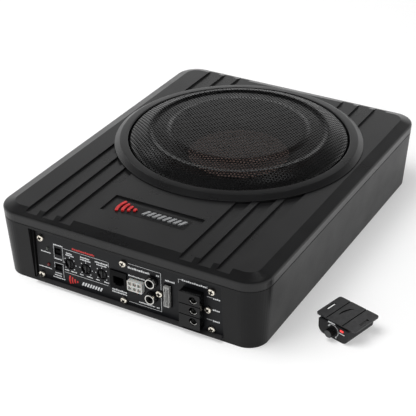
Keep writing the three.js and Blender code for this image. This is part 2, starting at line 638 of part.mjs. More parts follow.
function terminalScrew(z) {
  const headY = TERMINAL_WELL_Y - GAP;
  const head = rodY(TERMINAL.screwX, z, 2.9, headY - 2.4, headY, 12);
  const thread = rodY(TERMINAL.screwX, z, 1.6, headY - 1, -149, 8);
  const slot = box(TERMINAL.screwX - 0.5, TERMINAL.screwX + 0.5, headY - 4, headY - 1.5, z - 3, z + 3);
  return cut(join(head, thread), slot);
}

add('fuse_holder', fuseHolder(), BLACK_PLASTIC);
add('fuse', fuse(), CLEAR_PLASTIC);
add('terminal_block', terminalBlock(), BLACK_PLASTIC);
TERMINAL_SCREW_Z.forEach((z, i) => add(`terminal_screw_${i + 1}`, terminalScrew(z), NICKEL));

// ---------------------------------------------------------------- amplifier
// main board flat over the floor, joined by a header to the upright board of the controls
function circuitBoard() {
  const top = MAIN_BOARD_Z + 1.6;
  const main = box(-100, 100, -139, -74, MAIN_BOARD_Z, top);
  const upright = box(-76, -15, BOARD_FRONT_Y, BOARD_FRONT_Y + 1.6, 11.5, 42);
  const header = box(-60, -30, -143, -134, 11.6, 14);
  const foot = box(-60, -30, -138, -134, top - 0.5, 12);
  const chips = [-84, -66, -40, 84].map((x) => box(x - 5, x + 5, -128, -118, top - 0.5, top + 2.4));
  return join(main, upright, header, foot, ...chips);
}

function heatSpreader() {
  const base = box(-62, 62, -92, -80, 10, 13);
  const wall = box(-62, 62, -83, -80, 12, 34);
  const fins = [-50, -30, -10, 10, 30, 50].map((x) => box(x - 1.5, x + 1.5, -91, -82, 12, 30));
  return join(base, wall, ...fins);
}

function powerTransformer() {
  const ring = [[6, 11.5], [8, 10], [17, 10], [19, 11.5], [19, 23], [17, 25], [8, 25], [6, 23], [6, 11.5]];
  return turned(ring, 24).translate(60, -115, 0);
}

function filterCapacitor() {
  return turned([[0, 10], [8, 10], [8, 33.5], [7, 34.5], [0, 34.5]], 20).translate(20, -115, 0);
}

function speakerLead() {
  const route = new THREE.CatmullRomCurve3([
    new THREE.Vector3(-70, -80, 12.4), new THREE.Vector3(-72, -66, 14), new THREE.Vector3(-76, -48, 22),
    new THREE.Vector3(-76, -34, 34), new THREE.Vector3(-72, -22, 42),
  ]);
  const section = new THREE.Shape();
  section.absellipse(0, 0, 1.2, 2, 0, 2 * Math.PI);
  return new THREE.ExtrudeGeometry(section, { steps: 12, extrudePath: route, curveSegments: 4 });
}

add('circuit_board', circuitBoard(), BOARD);
add('heat_spreader', heatSpreader(), ALUMINIUM);
add('power_transformer', powerTransformer(), COPPER);
add('filter_capacitor', filterCapacitor(), BLACK_PLASTIC);
add('speaker_lead', speakerLead(), RUBBER);

// ---------------------------------------------------------------- remote level control
const remote = new THREE.Group();
remote.position.set(...REMOTE_AT);
remote.rotation.z = REMOTE_TURN;
part.add(remote);

// outline in X and Z with rounded lower corners, as long as the box is deep
function remoteSection(inset) {
  const { halfX, top, wall } = REMOTE;
  const [x, floor, radius] = [halfX - inset, inset, 6 - inset / 2];
  const section = new THREE.Shape();
  section.moveTo(x, top + (inset ? wall : 0));
  section.lineTo(-x, top + (inset ? wall : 0));
  section.absarc(-x + radius, floor + radius, radius, Math.PI, 1.5 * Math.PI);
  section.absarc(x - radius, floor + radius, radius, 1.5 * Math.PI, 2 * Math.PI);
  return section;
}

function alongY(section, y0, y1) {
  return prism(section, 0, y1 - y0, 5).rotateX(Math.PI / 2).translate(0, y1, 0);
}

const REMOTE_JACK = { x: 0, z: 6.4, halfX: 6.4, halfZ: 4.6 };

function remoteHousing() {
  const { front, back, wall } = REMOTE;
  const outer = alongY(remoteSection(0), front, back);
  const inner = alongY(remoteSection(wall), front + wall, back - wall);
  const jackWindow = cutoutFor(REMOTE_JACK, GAP, back - 4, back + 4);
  const shaftHole = rodY(REMOTE_KNOB.x, REMOTE_KNOB.z, 2 + GAP, front - 2, front + 4, 16);
  const lampHole = box(6.6, 10.4, front - 2, front + 4, 9.9, 12);
  return cut(outer, inner, jackWindow, shaftHole, lampHole);
}

// a plate with a slot in each wing, two folds and a shallow crescent pressed in its middle
function remoteBracket() {
  const [z0, z1] = [REMOTE.top + GAP, REMOTE.top + 1.8];
  const plate = prism(roundedRect(19.8, 15.2, 2.6), z0, z1, 4);
  const slots = [-16.4, 16.4].map((x) => box(x - 1.1, x + 1.1, -5.4, 5, z0 - 1, z1 + 1));
  const folds = [-9, 7].map((x) => box(x - 0.4, x + 0.4, -16, 16, z1 - 0.5, z1 + 1));
  const crescent = new THREE.Shape();
  crescent.moveTo(-4.5, -5.3);
  crescent.quadraticCurveTo(-4.5, 2.1, -0.5, 8.4);
  crescent.quadraticCurveTo(-6.7, 2.9, -4.5, -5.3);
  return cut(plate, ...slots, ...folds, prism(crescent, z1 - 0.4, z1 + 1, 5));
}

// a ribbed knob on a short shaft
function remoteKnob() {
  const { x, z } = REMOTE_KNOB;
  const profile = [[0, 0], [3.9, 0], [3.75, 5.1], [3.4, 5.6], [0, 5.6]];
  const baseY = REMOTE.front - 0.6;
  let knob = join(
    turnedOut(profile, x, baseY, z, 16),
    rodY(x, z, 2, baseY - 1, REMOTE.front + 7, 16),
  );
  const ribs = 8;
  for (let i = 0; i < ribs; i += 1) {
    const groove = box(-0.4, 0.4, baseY - 7, baseY - 0.8, 3.4, 5).rotateY((i / ribs) * 2 * Math.PI);
    knob = cut(knob, groove.translate(x, 0, z));
  }
  return knob;
}

add('remote_housing', remoteHousing(), BLACK_PLASTIC, remote);
add('remote_bracket', remoteBracket(), BLACK_PLASTIC, remote);
add('remote_knob', remoteKnob(), BLACK_PLASTIC, remote);
add('remote_led', box(6.9, 10.1, REMOTE.front - 0.4, REMOTE.front + 3, 10.2, 11.7), RED_LENS, remote);
add('remote_socket', modularJack(REMOTE_JACK, REMOTE.back, REMOTE.back - 11, 7), BLACK_PLASTIC, remote);

export default part;
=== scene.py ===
"""Powered car subwoofer with its level control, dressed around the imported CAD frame.

Shapes are written in millimetres, +Z up, with the control panel facing -Y, and are scaled
to metres when a mesh is made.
"""
import math

import bmesh
import bpy
from mathutils import Matrix, Vector


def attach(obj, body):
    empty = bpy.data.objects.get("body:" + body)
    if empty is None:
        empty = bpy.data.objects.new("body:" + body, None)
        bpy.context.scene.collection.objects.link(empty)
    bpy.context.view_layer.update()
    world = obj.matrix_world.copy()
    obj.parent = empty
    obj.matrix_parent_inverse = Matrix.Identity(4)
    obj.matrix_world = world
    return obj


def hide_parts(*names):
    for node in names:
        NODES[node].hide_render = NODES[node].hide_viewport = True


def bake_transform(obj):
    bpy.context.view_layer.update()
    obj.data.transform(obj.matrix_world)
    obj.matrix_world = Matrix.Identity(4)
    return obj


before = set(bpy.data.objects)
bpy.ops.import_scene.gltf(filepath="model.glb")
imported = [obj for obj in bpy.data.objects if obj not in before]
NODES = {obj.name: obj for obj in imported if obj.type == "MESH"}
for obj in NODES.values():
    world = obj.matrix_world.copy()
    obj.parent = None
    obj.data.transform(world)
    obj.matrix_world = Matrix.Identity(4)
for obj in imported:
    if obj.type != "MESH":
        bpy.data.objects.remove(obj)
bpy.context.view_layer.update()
MM = 0.001

# ---------------------- sizes shared with the CAD
HALF_WIDTH, HALF_LENGTH, CORNER_RADIUS = 125.0, 162.0, 21.0
DRIVER_Y = 36.8
BADGE_Y = -113.0
BADGE_FLOOR = 65.1
PANEL_Y = -156.0
PANEL_FACE = -PANEL_Y  # the same plane, measured out from the panel
PANEL_SCREWS = [
    (-82.4, 43), (-83.4, 7), (-1.6, 43), (-2.2, 7), (31.9, 24.8), (79.6, 42.6), (76, 24.6), (79.4, 7),
]
KNOBS = {"lowpass": -54.6, "input_level": -38.5, "bass_boost": -22.9}
KNOB_Z = 25.5
RCA = {"rca_socket_right": (25.4, 34.3), "rca_socket_left": (24.8, 19.1)}
LEDS = {"power_led": (-76.3, 34.2), "protect_led": (-76.3, 18.4)}
JACK_EDGE = (-13.9, 1.3, 17.0, 33.8)
JACK_X = -6.3
CONNECTOR = (10.5, 25.9)
FUSE = (39.8, 25.7)
TERMINAL_SCREW_X = 66.2
TERMINAL_SCREW_Z = (13.7, 23.7, 33.7)
REMOTE = Matrix.Translation((168.3, -96.3, 0)) @ Matrix.Rotation(math.radians(-15.2), 4, "Z")
REMOTE_FRONT = 17.6
REMOTE_TOP = 12.6
REMOTE_KNOB = (-0.4, 7.3)
REMOTE_PLATE_HEIGHTS = (12.9, 14.4)

# ---------------------- sizes used in several places
INK = 0.05  # how far printing stands out
SUNK = 0.01  # how far printing reaches into what carries it
# Depths of the dark strips of painted shadow beside the panel and the jack.
SHADOW_STRIP_DEPTHS = (155.9, 156.3)


# ---------------------- materials
def shader(name, colour, roughness, metallic=0.0, **sockets):
    """A Principled material with its even numbers set on the shader itself."""
    made = bpy.data.materials.new(name)
    made.use_nodes = True
    principled = made.node_tree.nodes["Principled BSDF"]
    principled.inputs["Base Color"].default_value = (*colour, 1)
    principled.inputs["Roughness"].default_value = roughness
    principled.inputs["Metallic"].default_value = metallic
    for key, value in sockets.items():
        principled.inputs[key.replace("_", " ")].default_value = value
    return made


def node(tree, kind, **inputs):
    made = tree.nodes.new(kind)
    for key, value in inputs.items():
        made.inputs[key.replace("_", " ")].default_value = value
    return made


def noise(tree, size_mm, detail=3.0, rough=0.55, stretch=(1, 1, 1)):
    """Noise in object space whose features are about size_mm across."""
    place = tree.nodes.new("ShaderNodeTexCoord")
    mapping = node(tree, "ShaderNodeMapping", Scale=stretch)
    made = node(tree, "ShaderNodeTexNoise", Scale=1 / (size_mm * MM), Detail=detail, Roughness=rough)
    tree.links.new(place.outputs["Object"], mapping.inputs["Vector"])
    tree.links.new(mapping.outputs["Vector"], made.inputs["Vector"])
    return made.outputs["Fac"]


def ranged(tree, source, low, high, from_low=0.3, from_high=0.7):
    made = node(tree, "ShaderNodeMapRange", From_Min=from_low, From_Max=from_high, To_Min=low, To_Max=high)
    tree.links.new(source, made.inputs["Value"])
    return made.outputs["Result"]


def blended(tree, factor, first, second):
    made = tree.nodes.new("ShaderNodeMix")
    made.data_type = "RGBA"
    made.inputs["A"].default_value = (*first, 1)
    made.inputs["B"].default_value = (*second, 1)
    tree.links.new(factor, made.inputs["Factor"])
    return made.outputs["Result"]


def bumped(tree, height, strength, depth_mm, edge_mm=0.0):
    """A bump from height, over edges that are softened by edge_mm."""
    bump = node(tree, "ShaderNodeBump", Strength=strength, Distance=depth_mm * MM)
    tree.links.new(height, bump.inputs["Height"])
    if edge_mm:
        edge = node(tree, "ShaderNodeBevel", Radius=edge_mm * MM)
        edge.samples = 4
        tree.links.new(edge.outputs["Normal"], bump.inputs["Normal"])
    return bump.outputs["Normal"]


def surface(name, colour, roughness, metallic=0.0, grain=1.0, depth=0.03, strength=0.5, vary=0.2,
            patch=25.0, edge=0.35, rough_vary=0.06, stretch=(1, 1, 1), **sockets):
    """A material with fine grain, slow patches of tone and an uneven gloss."""
    made = shader(name, colour, roughness, metallic, **sockets)
    tree = made.node_tree
    principled = tree.nodes["Principled BSDF"]
    fine = noise(tree, grain, stretch=stretch)
    patches = noise(tree, patch, detail=4.0)
    both = node(tree, "ShaderNodeMath")
    both.operation = "MULTIPLY_ADD"
    both.inputs[1].default_value = 0.5
    tree.links.new(fine, both.inputs[0])
    half = node(tree, "ShaderNodeMath")
    half.operation = "MULTIPLY"
    half.inputs[1].default_value = 0.5
    tree.links.new(patches, half.inputs[0])
    tree.links.new(half.outputs[0], both.inputs[2])
    tone = ranged(tree, both.outputs[0], 0, 1, 0.35, 0.65)
    darker = tuple(c * (1 - vary) for c in colour)
    lighter = tuple(min(1, c * (1 + vary)) for c in colour)
    tree.links.new(blended(tree, tone, darker, lighter), principled.inputs["Base Color"])
    gloss = ranged(tree, patches, roughness - rough_vary, roughness + rough_vary)
    tree.links.new(gloss, principled.inputs["Roughness"])
    tree.links.new(bumped(tree, fine, strength, depth, edge), principled.inputs["Normal"])
    return made


ABS = surface("textured_abs", (0.0085, 0.0085, 0.0088), 0.3, grain=0.55, depth=0.05, strength=0.4,
              vary=0.16, patch=30, edge=0, rough_vary=0.04, Specular_IOR_Level=0.32)
TUB_ABS = surface("tub_abs", (0.0085, 0.0085, 0.0088), 0.34, grain=0.55, depth=0.05, strength=0.4,
                  vary=0.16, patch=30, edge=0.3, rough_vary=0.04, Specular_IOR_Level=0.15)
# Paler than the tub's ABS: painted light on the window sill's top.
SILL_ABS_PAINTED_LIGHT = surface("sill_abs_painted_light", (0.03, 0.03, 0.031), 0.5, grain=0.55, depth=0.05, strength=0.4,
                   vary=0.16, edge=0.2, Specular_IOR_Level=0.3)
RING_ABS = surface("ring_abs", (0.009, 0.009, 0.0093), 0.3, grain=0.5, depth=0.04, strength=0.3,
                   vary=0.14, edge=0.3, rough_vary=0.04, Specular_IOR_Level=0.33)
JACK_PLASTIC = surface("jack_plastic", (0.0025, 0.0025, 0.0027), 0.45, grain=0.4, depth=0.02,
                       strength=0.3, vary=0.2, edge=0.2, Specular_IOR_Level=0.08)
BADGE_ABS = surface("badge_abs", (0.005, 0.005, 0.0053), 0.3, grain=0.5, depth=0.03, strength=0.3,
                    vary=0.14, edge=0.1, rough_vary=0.03, Specular_IOR_Level=0.2)
PLASTIC = surface("black_plastic", (0.004, 0.004, 0.0043), 0.4, grain=0.5, depth=0.02, strength=0.3,
                  vary=0.2, edge=0.25, Specular_IOR_Level=0.14)
# Near-black finish used as painted shadow: strips and rings that stand for shade in gaps and around parts.
SHADOW_BLACK = surface("painted_gap_shadow", (0.0012, 0.0012, 0.0013), 0.6, grain=0.4, depth=0.02, vary=0.2,
                       edge=0.1, Specular_IOR_Level=0.04)
GLOSS_PLASTIC = surface("gloss_plastic", (0.003, 0.003, 0.0033), 0.16, grain=0.6, depth=0.01, strength=0.3,
                        vary=0.2, edge=0.2, Specular_IOR_Level=0.25)
KNOB_PLASTIC = surface("knob_plastic", (0.02, 0.02, 0.021), 0.45, grain=0.4, depth=0.02, strength=0.4,
                       vary=0.2, edge=0.2, Specular_IOR_Level=0.3)
REMOTE_PLASTIC = surface("remote_plastic", (0.02, 0.02, 0.021), 0.5, grain=0.45, depth=0.05,
                         strength=0.6, vary=0.25, edge=0.25, Specular_IOR_Level=0.14)
REMOTE_PLATE = surface("remote_plate", (0.044, 0.044, 0.045), 0.5, grain=0.9, depth=0.08, strength=0.8,
                       vary=0.35, patch=3, edge=0.25, Specular_IOR_Level=0.35)
PANEL_STEEL = surface("painted_panel", (0.005, 0.0053, 0.0065), 0.4, grain=0.35, depth=0.02,
                      strength=0.35, vary=0.15, edge=0.15, Specular_IOR_Level=0.2)
GRILLE_STEEL = surface("powder_coated_steel", (0.005, 0.005, 0.0052), 0.3, grain=0.35, depth=0.02,
                       strength=0.3, vary=0.15, edge=0, Specular_IOR_Level=0.36)
STAMPED_STEEL = surface("stamped_steel", (0.03, 0.03, 0.032), 0.5, 0.2, grain=0.5, vary=0.2)
ZINC = surface("yellow_zinc", (0.82, 0.77, 0.68), 0.24, 1.0, grain=0.25, depth=0.008, strength=0.4,
               vary=0.16, patch=1.5, edge=0.12)
# Painted shade for the walls of the screws' cross recesses.
RECESS_SHADE = surface("painted_recess_shade", (0.05, 0.045, 0.035), 0.5, 0.6, grain=0.3, depth=0.01, vary=0.2, edge=0)
NICKEL = surface("nickel", (0.66, 0.65, 0.62), 0.2, 1.0, grain=0.3, depth=0.006, strength=0.3,
                 vary=0.1, patch=2, edge=0.15)
# Near-black steel: painted shade on the terminal screws down in their wells.
SHADED_SCREW_STEEL = surface("screw_steel_painted_shade", (0.02, 0.02, 0.02), 0.34, 1.0, grain=0.3, depth=0.006, vary=0.15)
TIN = surface("tinned_contact", (0.55, 0.52, 0.45), 0.3, 1.0, grain=0.3, depth=0.006, vary=0.12)
GOLD = surface("gold_contact", (0.75, 0.52, 0.2), 0.28, 1.0, grain=0.3, depth=0.005, vary=0.1)
SILVER = surface("silvered_plastic", (0.56, 0.57, 0.58), 0.28, 0.85, grain=0.2, depth=0.008,
                 vary=0.1, patch=6, edge=0.1, stretch=(1, 6, 1))
RED_ENAMEL = surface("red_enamel", (0.5, 0.012, 0.014), 0.25, grain=0.4, depth=0.01, vary=0.18,
                     patch=4, edge=0.1, Coat_Weight=0.4)
NYLON = surface("white_nylon", (0.5, 0.5, 0.48), 0.45, grain=0.4, depth=0.02, strength=0.3,
                vary=0.07, patch=5, edge=0.2, Subsurface_Weight=0.1, Subsurface_Scale=0.001)
# Darker clear plastic for the fuse's grooves: painted shade in them.
GROOVE_SHADE = surface("painted_groove_shade", (0.16, 0.16, 0.16), 0.3, grain=0.6, depth=0.05, vary=0.4, edge=0.1)
CLEAR = surface("clear_plastic", (0.4, 0.4, 0.39), 0.16, grain=0.7, depth=0.12, strength=0.8, vary=0.5,
                patch=1.5, edge=0.2, stretch=(1, 1, 0.12), Transmission_Weight=0.25, IOR=1.5)
GREEN_LENS = surface("green_lens", (0.05, 0.058, 0.05), 0.2, grain=0.5, depth=0.01, vary=0.15,
                     patch=1, edge=0.1, Transmission_Weight=0.2)
RED_LENS = surface("red_lens", (0.11, 0.006, 0.007), 0.2, grain=0.5, depth=0.01, vary=0.2,
                   patch=1, edge=0.1, Transmission_Weight=0.15)
LAMP_RED = surface("lamp_red", (0.85, 0.06, 0.06), 0.25, grain=0.6, depth=0.02, vary=0.15, patch=1.5,
                   edge=0.1, Emission_Color=(1, 0.05, 0.05, 1), Emission_Strength=0.35)
PRINT_WHITE = surface("white_ink", (0.62, 0.63, 0.64), 0.5, grain=0.15, depth=0.006, strength=0.5,
                      vary=0.12, patch=1.5, edge=0)
PRINT_RED = surface("red_ink", (0.5, 0.014, 0.012), 0.45, grain=0.15, depth=0.006, vary=0.12,
                    patch=1.5, edge=0)
BOARD = surface("solder_mask", (0.012, 0.1, 0.035), 0.35, grain=1.4, depth=0.02, vary=0.35, patch=6)
ALUMINIUM = surface("aluminium", (0.5, 0.5, 0.51), 0.36, 1.0, grain=0.5, depth=0.01, vary=0.08,
                    stretch=(0.1, 1, 1))
PLATED = surface("plated_steel", (0.36, 0.35, 0.34), 0.34, 1.0, grain=0.8, depth=0.02, vary=0.15)
FERRITE = surface("ferrite", (0.035, 0.035, 0.037), 0.7, 0.1, grain=0.9, depth=0.06, vary=0.25)
RUBBER = surface("rubber", (0.012, 0.012, 0.012), 0.62, grain=0.6, depth=0.03, vary=0.2)
PAPER = surface("cone_paper", (0.02, 0.015, 0.013), 0.75, grain=1.6, depth=0.1, strength=0.7,
                vary=0.3, patch=9)
CAP = surface("cap_plastic", (0.17, 0.115, 0.1), 0.4, grain=0.8, depth=0.03, vary=0.2, patch=12)
COPPER = surface("enamelled_copper", (0.62, 0.26, 0.1), 0.32, 1.0, grain=0.6, depth=0.03, vary=0.2)
CLOTH = surface("treated_cloth", (0.42, 0.25, 0.08), 0.85, grain=0.5, depth=0.12, strength=0.8,
                vary=0.25)


# ---------------------- mesh building
def on_top(u, v, w):
    return (u, v, w)


def on_panel(u, v, w):
    """u is X, v is Z and w stands out from the plane y = 0 towards -Y."""
    return (u, -w, v)


def placed_at(x, z, base_y):
    """On the panel, about the axis through x and z, with w = 0 at base_y."""
    return lambda u, v, w: (x + u, base_y - w, z + v)


def box(shape, lo, hi, at=on_top, tag=0):
    corners = [(u, v, w) for w in (lo[2], hi[2]) for v in (lo[1], hi[1]) for u in (lo[0], hi[0])]
    verts = [shape.verts.new(at(*c)) for c in corners]
    for quad in ((0, 2, 3, 1), (4, 5, 7, 6), (0, 1, 5, 4), (2, 6, 7, 3), (0, 4, 6, 2), (1, 3, 7, 5)):
        shape.faces.new([verts[i] for i in quad]).material_index = tag


def polar(radius, turn, centre=(0, 0)):
    return (centre[0] + radius * math.cos(turn), centre[1] + radius * math.sin(turn))


def prism(shape, outline, low, high, at=on_top, tag=0):
    """A solid between two heights with the given outline of (u, v) points."""
    bottom = [shape.verts.new(at(u, v, low)) for u, v in outline]
    top = [shape.verts.new(at(u, v, high)) for u, v in outline]
    count = len(outline)
    shape.faces.new(bottom[::-1]).material_index = tag
    shape.faces.new(top).material_index = tag
    for i in range(count):
        j = (i + 1) % count
        shape.faces.new([bottom[i], bottom[j], top[j], top[i]]).material_index = tag


def lathe(shape, profile, sides, at=on_top, centre=(0, 0), tag=0, closed=False):
    """A profile of (radius, height) turned about the w axis. closed joins its last point to its first."""
    rings = []
    for radius, height in profile:
        if radius < 1e-6:
            rings.append([shape.verts.new(at(centre[0], centre[1], height))])
            continue
        ring = []
        for i in range(sides):
            turn = 2 * math.pi * i / sides
            ring.append(shape.verts.new(at(*polar(radius, turn, centre), height)))
        rings.append(ring)
    pairs = list(zip(rings, rings[1:]))
    if closed:
        pairs.append((rings[-1], rings[0]))
    for low, high in pairs:
        for i in range(sides):
            j = (i + 1) % sides
            corners = [low[i % len(low)], low[j % len(low)], high[j % len(high)], high[i % len(high)]]
            face = [c for k, c in enumerate(corners) if c not in corners[:k]]
            if len(face) > 2:
                shape.faces.new(face).material_index = tag


def rounded(points, radius, steps=4, closed=True):
    """The polygon with each corner rounded off by up to radius."""
    count = len(points)
    out = []
    for i, (x, y) in enumerate(points):
        if not closed and i in (0, count - 1):
            out.append((x, y))
            continue
        here = Vector((x, y))
        before, after = Vector(points[i - 1]), Vector(points[(i + 1) % count])
        reach = min(radius, 0.45 * (before - here).length, 0.45 * (after - here).length)
        start = here + (before - here).normalized() * reach
        end = here + (after - here).normalized() * reach
        for k in range(steps + 1):
            t = k / steps
            spot = start * (1 - t) ** 2 + here * 2 * t * (1 - t) + end * t ** 2
            out.append((spot.x, spot.y))
    return out


def rectangle(half_u, half_v, radius=0.0, centre=(0, 0), steps=4):
    u, v = centre
    corners = [
        (u - half_u, v - half_v), (u + half_u, v - half_v),
        (u + half_u, v + half_v), (u - half_u, v + half_v),
    ]
    return rounded(corners, radius, steps) if radius else corners


def make(name, shape, materials, transform=None, sharp=32):
    """The bmesh as an object in metres, smooth except across edges sharper than the angle."""
    if transform:
        bmesh.ops.transform(shape, matrix=transform, verts=shape.verts)
    bmesh.ops.remove_doubles(shape, verts=shape.verts, dist=1e-4)
    bmesh.ops.recalc_face_normals(shape, faces=shape.faces)
    bmesh.ops.scale(shape, vec=(MM, MM, MM), verts=shape.verts)
    mesh = bpy.data.meshes.new(name)
    shape.to_mesh(mesh)
    shape.free()
    soften(mesh, sharp)
    for material in materials:
        mesh.materials.append(material)
    made = bpy.data.objects.new(name, mesh)
    bpy.context.scene.collection.objects.link(made)
    return made


def soften(mesh, sharp):
    mesh.shade_smooth()
    mesh.set_sharp_from_angle(angle=math.radians(sharp))


def bevel(obj, width_mm, segments=2, angle=40):
    modifier = obj.modifiers.new("edges", "BEVEL")
    modifier.width = width_mm * MM
    modifier.segments = segments
    modifier.limit_method = "ANGLE"
    modifier.angle_limit = math.radians(angle)
    modifier.harden_normals = True
    return obj


def carve(obj, *tools, sharp=None):
    """Cuts the tools out of the object's mesh for good, and removes them."""
    for tool in tools:
        modifier = obj.modifiers.new("cut", "BOOLEAN")
        modifier.operation = "DIFFERENCE"
        modifier.solver = "EXACT"
        if tool.data.materials:
            modifier.material_mode = "TRANSFER"
        modifier.object = tool
    bpy.context.view_layer.update()
    depsgraph = bpy.context.evaluated_depsgraph_get()
    carved = bpy.data.meshes.new_from_object(obj.evaluated_get(depsgraph))
    obj.modifiers.clear()
    obj.data = carved
    for tool in tools:
        bpy.data.objects.remove(tool)
    if sharp:
        soften(obj.data, sharp)
    return obj


def cutter(build, *details, finish=(), transform=None):
    """A shape for carve to cut away, built by box, prism or lathe. finish shows on the cut."""
    shape = bmesh.new()
    build(shape, *details)
    return make("cutter", shape, finish, transform)


def settle(obj, body, slot, *replaced):
    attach(obj, body)
    if replaced:
        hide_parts(*replaced)
    return obj


def dress(name, material, sharp=32):
    """Gives a CAD node its finish, and smooth shading across its gentle edges."""
    mesh = NODES[name].data
    mesh.materials.clear()
    mesh.materials.append(material)
    soften(mesh, sharp)


# ---------------------- camera, floor and light
CAMERA_TURN = (29.4995, 30.7794, -0.4836)  # azimuth, elevation and roll in degrees
CAMERA_PLACE = (0.45685, -0.82828, 0.57659)
CAMERA_SENSOR = 36
CAMERA_LENS = 105.22

SKY_STRENGTH = 1.2
SKY = [  # sine of the height above the horizon, and grey
    (0.0, 1.0), (0.36, 1.0), (0.42, 0.72), (0.46, 0.34), (0.54, 0.2), (0.6, 0.04), (1.0, 0.04),
]
SOFTBOXES = [  # name, place, aim, size, power, whether reflections show it
    ("overhead", (-0.7, -0.7, 2.3), (0, 0, 0), (1.8, 1.8), 62, False),
    ("left_glint", (-1.6, 0.94, 1.5), (0, 0, 0.05), (0.3, 0.3), 1.3, True),
    ("back_glint", (0.15, 0.9, 2.25), (0, 0, 0.05), (0.25, 0.25), 1, True),
]
FLOOR_REACH = 6000
FLOOR_HEIGHTS = (-12, -0.3)


def camera():
    azimuth, elevation, roll = (math.radians(a) for a in CAMERA_TURN)
    back = Vector((
        math.sin(azimuth) * math.cos(elevation),
        -math.cos(azimuth) * math.cos(elevation),
        math.sin(elevation),
    ))
    right = Vector((math.cos(azimuth), math.sin(azimuth), 0))
    up = back.cross(right)
    c, s = math.cos(roll), math.sin(roll)
    columns = (c * right + s * up, c * up - s * right, back)
    made = bpy.data.objects.new("camera", bpy.data.cameras.new("camera"))
    turn = Matrix(columns).transposed().to_4x4()
    made.matrix_world = Matrix.Translation(CAMERA_PLACE) @ turn
    made.data.sensor_width = CAMERA_SENSOR
    made.data.lens = CAMERA_LENS
    bpy.context.scene.collection.objects.link(made)
    bpy.context.scene.camera = made


def softbox(name, place, aim, size, power, glossy):
    made = bpy.data.objects.new(name, bpy.data.lights.new(name, "AREA"))
    made.data.shape = "RECTANGLE"
    made.data.size, made.data.size_y = size
    made.data.energy = power
    made.location = place
    made.rotation_euler = (Vector(aim) - Vector(place)).to_track_quat("-Z", "Y").to_euler()
    made.visible_glossy = glossy
    bpy.context.scene.collection.objects.link(made)


def sky():
    """A studio whose walls are bright near the floor and whose ceiling is dark."""
    world = bpy.data.worlds.new("studio")
    bpy.context.scene.world = world
    world.use_nodes = True
    tree = world.node_tree
    place = tree.nodes.new("ShaderNodeTexCoord")
    split = tree.nodes.new("ShaderNodeSeparateXYZ")
    ramp = tree.nodes.new("ShaderNodeValToRGB")
    tree.links.new(place.outputs["Generated"], split.inputs["Vector"])
    tree.links.new(split.outputs["Z"], ramp.inputs["Fac"])
    tree.links.new(ramp.outputs["Color"], tree.nodes["Background"].inputs["Color"])
    tree.nodes["Background"].inputs["Strength"].default_value = SKY_STRENGTH
    stops = ramp.color_ramp.elements
    while len(stops) < len(SKY):
        stops.new(0.5)
    for stop, (rise, grey) in zip(stops, SKY):
        stop.position = rise
        stop.color = (grey, grey, grey, 1)


def studio():
    shape = bmesh.new()
    prism(shape, rectangle(FLOOR_REACH, FLOOR_REACH), *FLOOR_HEIGHTS)
    floor_paint = surface("floor_paint", (0.6, 0.6, 0.6), 0.8, grain=40, depth=0.2, strength=0.1,
                          vary=0.01, patch=900, edge=0, Emission_Color=(1, 1, 1, 1), Emission_Strength=0.42)
    make("floor", shape, [floor_paint])
    sky()
    for light in SOFTBOXES:
        softbox(*light)
    bpy.context.scene.view_settings.view_transform = "Standard"


# ---------------------- enclosure
def wall_outline(inset, steps=16):
    """The enclosure's outline drawn in by inset, as (x, y) points."""
    points = []
    for k, (side_x, side_y) in enumerate(((1, 1), (-1, 1), (-1, -1), (1, -1))):
        for i in range(steps + 1):
            turn = math.pi / 2 * (k + i / steps)
            points.append((
                side_x * (HALF_WIDTH - CORNER_RADIUS) + (CORNER_RADIUS - inset) * math.cos(turn),
                side_y * (HALF_LENGTH - CORNER_RADIUS) + (CORNER_RADIUS - inset) * math.sin(turn),
            ))
    return points


def seam():
    """The strip between tub and cover, a hair below the walls it lies between."""
    shape = bmesh.new()
    levels = [(0.75, 54.7), (0.6, 54.95), (0.57, 55.45), (0.7, 55.7), (2.7, 55.7), (2.7, 54.7)]
    loops = [[shape.verts.new((x, y, z)) for x, y in wall_outline(inset)] for inset, z in levels]
    for low, high in zip(loops, loops[1:] + loops[:1]):
        for i in range(len(low)):
            j = (i + 1) % len(low)
            shape.faces.new([low[i], low[j], high[j], high[i]])
    settle(make("cover_seam", shape, [ABS], sharp=50), "enclosure", "foam", "cover_gasket")


def window_ledge():
    """The window's left step, a shallow sill whose paler finish is painted light, and dark strips of painted
    shadow at the panel's two ends.
    """
    shape = bmesh.new()
    prism(shape, rectangle(0.75, 24.4, 0.2, (-89.35, 27.85)), 155.9, 157.4, on_panel)
    settle(make("window_step", shape, [TUB_ABS]), "enclosure", "textured_abs")
    # The sill's paler finish is painted light, lifting a surface that would read dark from shade.
    shape = bmesh.new()
    sill = [(156.2, 3.25), (161.6, 3.25), (161.6, 3.4), (156.2, 3.8)]
    prism(shape, sill, -88.4, 89.2, lambda w, v, u: (u, -w, v))
    settle(make("window_sill", shape, [SILL_ABS_PAINTED_LIGHT]), "enclosure", "textured_abs")
    # Dark strips at the panel's two ends: painted shadow in the gaps beside the panel.
    shape = bmesh.new()
    for x0, x1 in ((-88.5, -87.5), (89.3, 90.1)):
        box(shape, (x0, 3.9, SHADOW_STRIP_DEPTHS[0]), (x1, 52.1, SHADOW_STRIP_DEPTHS[1]), on_panel)
    settle(make("panel_edge_shadow", shape, [SHADOW_BLACK]), "enclosure", "black_plastic")


def enclosure():
    dress("lower_tub", TUB_ABS)
    dress("top_cover", ABS)
    seam()
    for i in range(4):
        dress(f"case_screw_{i + 1}", STAMPED_STEEL)
    dress("control_panel", PANEL_STEEL)
    window_ledge()


